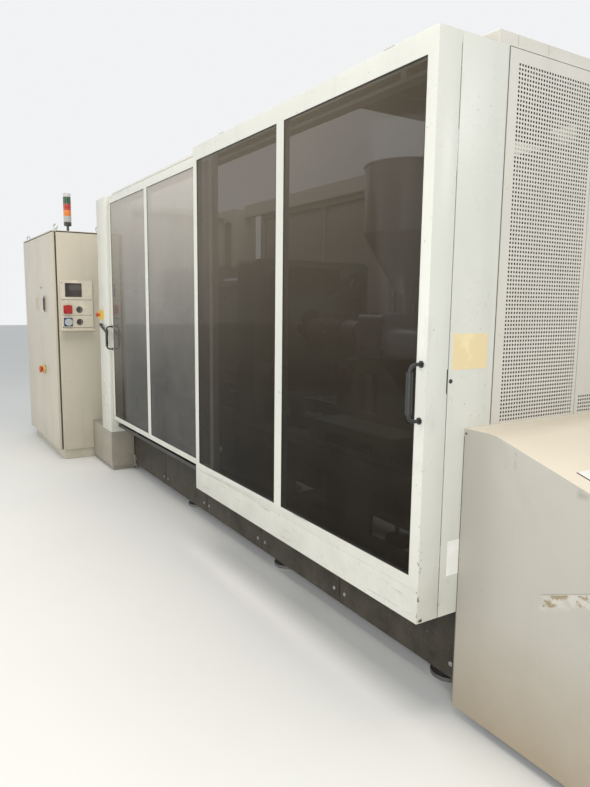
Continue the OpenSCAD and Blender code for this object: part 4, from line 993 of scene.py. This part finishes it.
class MACHINE_OT_glaze(bpy.types.Operator):
    """Glazes the sliding doors with tinted panes."""

    bl_idname = "machine.glaze"
    bl_label = "Glaze the doors"

    def execute(self, context):
        looks = context.scene.machine_panes
        low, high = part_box("near_door_panes")
        near = (tuple(looks.low), tuple(looks.high), looks.cover, looks.shine)
        far = (tuple(looks.far_low), tuple(looks.far_high), looks.far_cover, looks.far_shine)
        # The pairs after the corners spread the panes' painted reflection from left to right.
        finishes["near_pane"] = tinted_pane("near_pane", *near, low, high, (1.75, 0.7))
        low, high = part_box("far_door_panes")
        finishes["far_pane"] = tinted_pane("far_pane", *far, low, high, (0.95, 1.1))
        dress(finishes["near_pane"], "near_door_panes")
        dress(finishes["far_pane"], "far_door_panes", "rear_door_panes")
        self.seals("near_door", 0.9275, -1)
        self.seals("far_door", 0.895, -1)
        self.seals("rear_door", 1.0075, 1)
        return {"FINISHED"}

    def seals(self, door, left, side):
        """Black seals round a door's two openings; left is the width of the left one."""
        low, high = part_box(door + "_panes")
        lap = 0.011
        bar = 0.065
        band = 0.004
        y = low.y if side < 0 else high.y
        split = low.x + lap + left
        bm = bmesh.new()
        for start, end in ((low.x + lap, split), (split + bar, high.x - lap)):
            wide = end - start
            tall = high.z - low.z - 2 * lap
            outer = rounded(wide, tall, 0.002, 1)
            inner = rounded(wide - 2 * band, tall - 2 * band, 0.002, 1)
            place = facing((0, side, 0), Vector(((start + end) / 2, y, (low.z + high.z) / 2)))
            add_ring(bm, outer, inner, 0.0015, place)
        hold(door + "_seals", bm, finishes["seal"], nodes[door + "_panes"]["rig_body"])


class MACHINE_OT_perforate(bpy.types.Operator):
    """Makes the perforated end panels as two folded trays."""

    bl_idname = "machine.perforate"
    bl_label = "Perforate the end panels"

    def execute(self, context):
        sizes = context.scene.machine_perforation
        tree = perforation_tree()
        low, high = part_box("vent_panels")
        middle = (low.y + high.y) / 2
        bm = bmesh.new()
        gap = 0.0025
        for start, end, first, rows in (
            (low.y, middle - gap, 0.382, sizes.rows),
            (middle + gap, high.y, 0.857, sizes.short_rows),
        ):
            field = Vector((at(0, first, 0).y, FIRST_HOLE_HEIGHT))
            self.tray(bm, tree, sizes, (start, low.z), (end, high.z), field, rows, high.x)
        bmesh.ops.recalc_face_normals(bm, faces=bm.faces)
        piece = hold("perforated_panels", bm, finishes["panels"], "machine")
        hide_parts("vent_panels")
        return {"FINISHED"}

    def tray(self, bm, tree, sizes, low, high, field, rows, face):
        """Adds one tray, its hole field starting at the point field."""
        values = {
            "Columns": sizes.columns,
            "Rows": rows,
            "Pitch": sizes.pitch,
            "Hole radius": sizes.hole,
            "Sheet": sizes.sheet,
            "Finish": finishes["panels"].material,
        }
        mesh = grown(tree, [(0, 0, 0)], values)
        size = Vector((sizes.columns * sizes.pitch, rows * sizes.pitch))
        centre = field + size / 2
        mesh.transform(facing((1, 0, 0), Vector((face, centre.x, centre.y))))
        known = set(bm.verts)
        bm.from_mesh(mesh)
        bpy.data.meshes.remove(mesh)
        fresh = [v for v in bm.verts if v not in known]
        levels = {"front": face, "back": face - sizes.sheet}
        outer = {}
        for level, x in levels.items():
            rim = [
                e
                for v in fresh
                for e in v.link_edges
                if e.is_boundary and all(abs(w.co.x - x) < 1e-5 for w in e.verts)
            ]
            rim = list(dict.fromkeys(rim))
            inset = 0 if level == "front" else sizes.sheet
            outer[level] = self.frame(bm, x, low, high, inset)
            edges = [bm.edges.new((outer[level][i], outer[level][(i + 1) % 4])) for i in range(4)]
            bmesh.ops.triangle_fill(bm, use_beauty=True, edges=rim + edges, normal=(1, 0, 0))
        lip_out = self.frame(bm, face - sizes.tray, low, high, 0)
        lip_in = self.frame(bm, face - sizes.tray, low, high, sizes.sheet)
        for first, second in ((outer["front"], lip_out), (lip_out, lip_in), (lip_in, outer["back"])):
            for i in range(4):
                j = (i + 1) % 4
                bm.faces.new((first[i], first[j], second[j], second[i]))

    def frame(self, bm, x, low, high, inset):
        """Four corners of one level of a tray."""
        y = (low[0] + inset, high[0] - inset)
        z = (low[1] + inset, high[1] - inset)
        corners = ((y[0], z[0]), (y[1], z[0]), (y[1], z[1]), (y[0], z[1]))
        return [bm.verts.new((x, *corner)) for corner in corners]


class MACHINE_OT_fold(bpy.types.Operator):
    """Bends the corners of the folded sheet pieces."""

    bl_idname = "machine.fold"
    bl_label = "Bend the folded corners"

    def execute(self, context):
        sizes = context.scene.machine_folds
        for name in (
            "near_door_frame",
            "far_door_frame",
            "rear_door_frame",
            "near_columns",
            "far_end_frame",
            "roof_cover",
            "end_hood",
            "base_panels",
            "base_box",
            "cabinet_body",
            "cabinet_right_door",
            "cabinet_left_door",
        ):
            folded_copy(name, sizes.bend, sizes.steps)
        return {"FINISHED"}


class MACHINE_OT_plates(bpy.types.Operator):
    """Fixes the bare plates, the lock, the latch slot and the seams on the near end and the hood."""

    bl_idname = "machine.plates"
    bl_label = "Fix plates and lock"

    def execute(self, context):
        colours = context.scene.machine_plates
        label = moulded("label_plate", tuple(colours.label), 0.45, 90, 0.05)
        white = moulded("white_plate", tuple(colours.white), 0.40, 90, 0.05)
        dark = moulded("dark_slot", (0.03, 0.03, 0.028), 0.6)
        seal = finishes["seal"]
        end = (1, 0, 0)

        place = facing(end, at(0, 0.209, 1.411))
        plate("label_plate", label, "machine", (0.174, 0.128), 0.003, 0.001, place, 0.0003)
        place = facing(end, at(0, 0.170, 0.642))
        plate("sign_plate", white, "machine", (0.060, 0.135), 0.002, 0.0008, place, 0.0002)
        rim = [(0, 0), (0.008, 0), (0.008, 0.002), (0.006, 0.003), (0.003, 0.003)]
        slit = [(0.0025, 0.0015), (0, 0.0015)]
        turned("panel_lock", dark, "machine", rim + slit, facing(end, at(0, 0.118, 1.307)))
        # The latch slot is a dark strip: the painted shade inside the slot's opening.
        strip("latch_slot", dark, "near_door", at(0, 0.1003, 1.263), at(0, 0.1003, 1.350), 0.0045, end)

        grey = finishes["module"]
        for y in (0.373, 0.538):
            ends = [at(0, y, z) for z in CAP_HEIGHTS]
            strip("cap_joint_%d" % (y * 1000), grey, "machine", *ends, 0.0015, end)
        joint = moulded("joint_grey", (0.13, 0.125, 0.11), 0.5)
        strip("hood_seam", joint, "machine", at(0.002, 0.2, 0.05), at(0.002, 0.2, 1.10), 0.003, (0, -1, 0))
        low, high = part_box("vent_panels")
        ends = [Vector((at(0, 0, 0).x, low.y - 0.003, z)) for z in (1.135, high.z)]
        strip("panel_seam", joint, "machine", *ends, 0.005, end)

        out = Vector((math.sin(HOOD_SLOPE), 0, math.cos(HOOD_SLOPE)))
        down = Vector((math.cos(HOOD_SLOPE), 0, -math.sin(HOOD_SLOPE)))
        spot = at(0.41, 0.33, HOOD_TOP - HOOD_LEVEL_LENGTH * math.tan(HOOD_SLOPE))
        spot = spot + down * 0.085 + out * 0.0002
        plate("hood_plate", white, "machine", (0.10, 0.17), 0.004, 0.003, facing(out, spot), 0.0008)
        # A painted shadow line along the plate's edge that faces the front.
        edge = spot - Vector((0, 0.0515, 0))
        ends = (edge - down * 0.085, edge + down * 0.085)
        strip("hood_plate_seal", seal, "machine", *ends, 0.003, out, 0.002)

        heads = [at(0.010, 0.2, 1.112)]
        bolts("hood_rivets", "machine", seal, heads, (0, -1, 0), 0.004, 0.002, sides=12, top=0.6)
        return {"FINISHED"}


class MACHINE_OT_controls(bpy.types.Operator):
    """Fits the socket unit's display and outlets, and the cabinet's grip plate, keyhole, edges and stop."""

    bl_idname = "machine.controls"
    bl_label = "Fit the controls"

    def execute(self, context):
        out = (1, 0, 0)
        front = (0, -1, 0)
        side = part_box("cabinet_body")[1].x
        glass = moulded("display_glass", (0.050, 0.040, 0.040), 0.12, 60, 0.02)
        grey = moulded("outlet_grey", (0.085, 0.080, 0.070), 0.45)
        seal = finishes["seal"]

        def on_side(y, z, lift=0.0):
            return Vector((side + lift, at(0, y, 0).y, z))

        def on_unit(y, z, lift=0.0):
            return on_side(y, z, UNIT_DEPTH + lift)

        place = facing(out, on_unit(-0.055, 1.6775, -0.006))
        plate("display", glass, "machine", (0.156, 0.131), 0.004, 0.003, place, 0.0005)
        ends = [on_unit(y, 1.700, -0.0029) for y in (-0.095, 0.020)]
        strip("display_shade", grey, "machine", *ends, 0.050, out)
        for number, z in enumerate((1.585, 1.436, 1.316)):
            ends = [on_unit(y, z) for y in (-0.165, 0.115)]
            strip("unit_joint_%d" % number, grey, "machine", *ends, 0.004, out)
        bm = bmesh.new()
        for z in SOCKET_HEIGHTS:
            hub = rounded(0.062, 0.062, 0.0309, 6)
            hole = rounded(0.044, 0.044, 0.0219, 6)
            add_ring(bm, hub, hole, 0.003, facing(out, on_unit(-0.005, z)))
            disc = [(0, 0), (0.0215, 0), (0.0215, 0.002), (0, 0.002)]
            add_turned(bm, disc, facing(out, on_unit(-0.005, z, -0.02)), 24)
        hold("outlets", bm, grey, "machine", smooth=True)
        corners = [on_unit(-0.163, z) for z in (1.745, 1.318, 1.585)] + [on_unit(0.110, 1.585)]
        bolts("unit_screws", "machine", grey, corners, out, 0.005, 0.002, sides=12, top=0.7)

        bm = bmesh.new()
        grip = facing(front, at(-5.285, -0.249, 1.54))
        add_slab(bm, rounded(0.034, 0.165, 0.006), 0.003, grip, 0.001)
        add_slab(bm, rounded(0.018, 0.120, 0.006), 0.009, grip @ Matrix.Translation((0, 0, 0.003)), 0.003)
        hold("grip_plate", bm, finishes["black"], "right_cabinet_door")
        rim = [(0, 0), (0.012, 0), (0.012, 0.002), (0.009, 0.003), (0.004, 0.003)]
        slit = [(0.004, 0.001), (0, 0.001)]
        place = facing(front, at(-5.425, -0.249, 1.705))
        turned("keyhole", finishes["black"], "right_cabinet_door", rim + slit, place)

        # The edge line is the black gasket with the shade in the door gap; the roof line is a painted shadow
        # under the roof plate.
        for name, start, end in (
            ("cabinet_edge", (-0.199, 0.11), (-0.199, 2.225)),
            ("cabinet_roof_line", (-0.190, 2.229), (0.26, 2.229)),
        ):
            strip(name, seal, "machine", on_side(*start), on_side(*end), 0.010, out)

        low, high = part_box("cabinet_stop")
        spot = (low + high) / 2
        spot.y = at(0, -0.249, 0).y
        place = facing(front, spot)
        bm = bmesh.new()
        add_ring(bm, rounded(0.092, 0.092, 0.0459, 8), rounded(0.044, 0.044, 0.0219, 8), 0.013, place)
        hold("stop_collar", bm, finishes["yellow"], "right_cabinet_door", smooth=True)
        stem = [(0, -0.004), (0.019, -0.004), (0.019, 0.022), (0.030, 0.024), (0.037, 0.030), (0.038, 0.036)]
        crown = [(0.034, 0.041), (0.024, 0.044), (0, 0.044)]
        body = nodes["cabinet_stop"]["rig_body"]
        piece = turned("stop_head", finishes["red"], body, stem + crown, place, 40)
        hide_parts("cabinet_stop")
        return {"FINISHED"}


class MACHINE_OT_fasten(bpy.types.Operator):
    """Puts in the screws and bolts, one tree for all of them."""

    bl_idname = "machine.fasten"
    bl_label = "Put in the fasteners"

    def execute(self, context):
        panels_low, panels_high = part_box("base_panels")
        steel = finishes["steel"]
        width = (panels_high.x - panels_low.x) / BED_PANELS
        for side, y, name in ((-1, panels_low.y, "front"), (1, panels_high.y, "rear")):
            places = [
                (panels_low.x + i * width + dx, y, z)
                for i in range(BED_PANELS)
                for dx in (0.045, width - 0.045)
                for z in (0.12, panels_high.z - 0.04)
            ]
            bolts(name + "_panel_screws", "machine", steel, places, (0, side, 0), 0.006, 0.004, 0.010)
        low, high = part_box("rear_panel")
        count = 7
        step = (high.x - low.x - 0.08) / (count - 1)
        rows = (low.z + 0.05, high.z - 0.03)
        places = [(low.x + 0.04 + i * step, high.y, z) for i in range(count) for z in rows]
        bolts("rear_panel_bolts", "machine", steel, places, (0, 1, 0), 0.006, 0.004, 0.010)
        centre = at(-3.61, 0.835, 1.40)
        ring = [
            centre + 0.24 * Vector((0, math.cos(angle), math.sin(angle)))
            for angle in (math.radians(15 + 30 * i) for i in range(12))
        ]
        bolts("cylinder_bolts", "machine", finishes["foot"], ring, (-1, 0, 0), 0.021, 0.020, 0.023)
        return {"FINISHED"}


class MACHINE_OT_stage(bpy.types.Operator):
    """Sets up the floor, the soft lamps, the pale surroundings and the camera."""

    bl_idname = "machine.stage"
    bl_label = "Set up the studio"

    def execute(self, context):
        studio = context.scene.machine_studio
        self.floor(studio)
        warm = (1.0, 0.93, 0.82)
        self.lamp("key_lamp", at(4.5, -4.2, 2.3), at(-0.6, 0.4, 1.3), studio.key, 3.4)
        self.lamp("fill_lamp", at(-5.5, -6.5, 2.6), at(-2.5, 0, 1.2), studio.fill, 4.0)
        self.lamp("top_lamp", at(-1.0, -0.3, 6.5), at(-1.0, 0.2, 0), studio.top, 4.5, warm)
        self.lamp("window_lamp", at(4.9, 5.4, 4.3), at(0, 0.2, 2.2), studio.window, 1.3)
        self.surroundings(studio)
        data = bpy.data.cameras.new("photo_camera")
        data.lens = studio.lens
        data.sensor_width = 36
        data.clip_end = 200
        camera = bpy.data.objects.new("photo_camera", data)
        context.scene.collection.objects.link(camera)
        turn = Matrix.Rotation(studio.heading, 4, "Z")
        turn = turn @ Matrix.Rotation(math.pi / 2 - studio.tilt, 4, "X")
        turn = turn @ Matrix.Rotation(studio.roll, 4, "Z")
        camera.matrix_world = Matrix.Translation(at(*studio.stand)) @ turn
        context.scene.camera = camera
        context.scene.view_settings.view_transform = "Standard"
        return {"FINISHED"}

    def floor(self, studio):
        bm = bmesh.new()
        bmesh.ops.create_grid(bm, x_segments=2, y_segments=2, size=40)
        mesh = bpy.data.meshes.new("floor")
        bm.to_mesh(mesh)
        bm.free()
        mesh.transform(Matrix.Translation((0, 0, -FLOOR_DROP)))
        made = Finish("studio_floor", roughness=0.7)
        tint = tuple(studio.floor)
        made.set("Base Color", made.mix(made.span(made.noise(0.7, 3), 0.3, 0.7), tint, shaded(tint, 0.97)))
        mesh.materials.append(made.material)
        piece = bpy.data.objects.new("floor", mesh)
        bpy.context.scene.collection.objects.link(piece)

    def lamp(self, name, place, target, power, size, tint=(1, 1, 1)):
        data = bpy.data.lights.new(name, "AREA")
        data.energy = power
        data.color = tint
        data.size = size
        lamp = bpy.data.objects.new(name, data)
        bpy.context.scene.collection.objects.link(lamp)
        lamp.matrix_world = facing(place - target, place)

    def surroundings(self, studio):
        world = bpy.data.worlds.new("surroundings")
        bpy.context.scene.world = world
        world.use_nodes = True
        tree = world.node_tree
        tree.nodes.clear()
        output = tree.nodes.new("ShaderNodeOutputWorld")
        backdrop = tree.nodes.new("ShaderNodeBackground")
        light = tree.nodes.new("ShaderNodeBackground")
        blend = tree.nodes.new("ShaderNodeMixShader")
        rays = tree.nodes.new("ShaderNodeLightPath")
        backdrop.inputs["Color"].default_value = (0.88, 0.89, 0.90, 1)
        light.inputs["Color"].default_value = (0.93, 0.97, 1.0, 1)
        light.inputs["Strength"].default_value = studio.ambient
        total = rays.outputs["Is Camera Ray"]
        for kind in ("Is Glossy Ray", "Is Transmission Ray"):
            highest = tree.nodes.new("ShaderNodeMath")
            highest.operation = "MAXIMUM"
            tree.links.new(total, highest.inputs[0])
            tree.links.new(rays.outputs[kind], highest.inputs[1])
            total = highest.outputs[0]
        tree.links.new(total, blend.inputs[0])
        tree.links.new(light.outputs[0], blend.inputs[1])
        tree.links.new(backdrop.outputs[0], blend.inputs[2])
        tree.links.new(blend.outputs[0], output.inputs["Surface"])


OPERATORS = (
    MACHINE_OT_paint,
    MACHINE_OT_glaze,
    MACHINE_OT_perforate,
    MACHINE_OT_fold,
    MACHINE_OT_plates,
    MACHINE_OT_controls,
    MACHINE_OT_fasten,
    MACHINE_OT_stage,
)


class MACHINE_PT_steps(bpy.types.Panel):
    """Lists the steps and their settings in the sidebar."""

    bl_label = "Injection moulding machine"
    bl_idname = "MACHINE_PT_steps"
    bl_space_type = "VIEW_3D"
    bl_region_type = "UI"
    bl_category = "Machine"

    def draw(self, context):
        for step in OPERATORS:
            self.layout.operator(step.bl_idname)
        for name, group in GROUPS.items():
            box = self.layout.box()
            box.label(text=group.__doc__)
            for key in group.__annotations__:
                box.prop(getattr(context.scene, name), key)


def register():
    for group in GROUPS.values():
        bpy.utils.register_class(group)
    for name, group in GROUPS.items():
        setattr(bpy.types.Scene, name, bpy.props.PointerProperty(type=group))
    for step in OPERATORS:
        bpy.utils.register_class(step)
    bpy.utils.register_class(MACHINE_PT_steps)


def unregister():
    bpy.utils.unregister_class(MACHINE_PT_steps)
    for step in reversed(OPERATORS):
        bpy.utils.unregister_class(step)
    for name in GROUPS:
        delattr(bpy.types.Scene, name)
    for group in reversed(GROUPS.values()):
        bpy.utils.unregister_class(group)


def main():
    register()
    for step in OPERATORS:
        family, name = step.bl_idname.split(".")
        getattr(getattr(bpy.ops, family), name)()


if __name__ == "__main__":
    main()
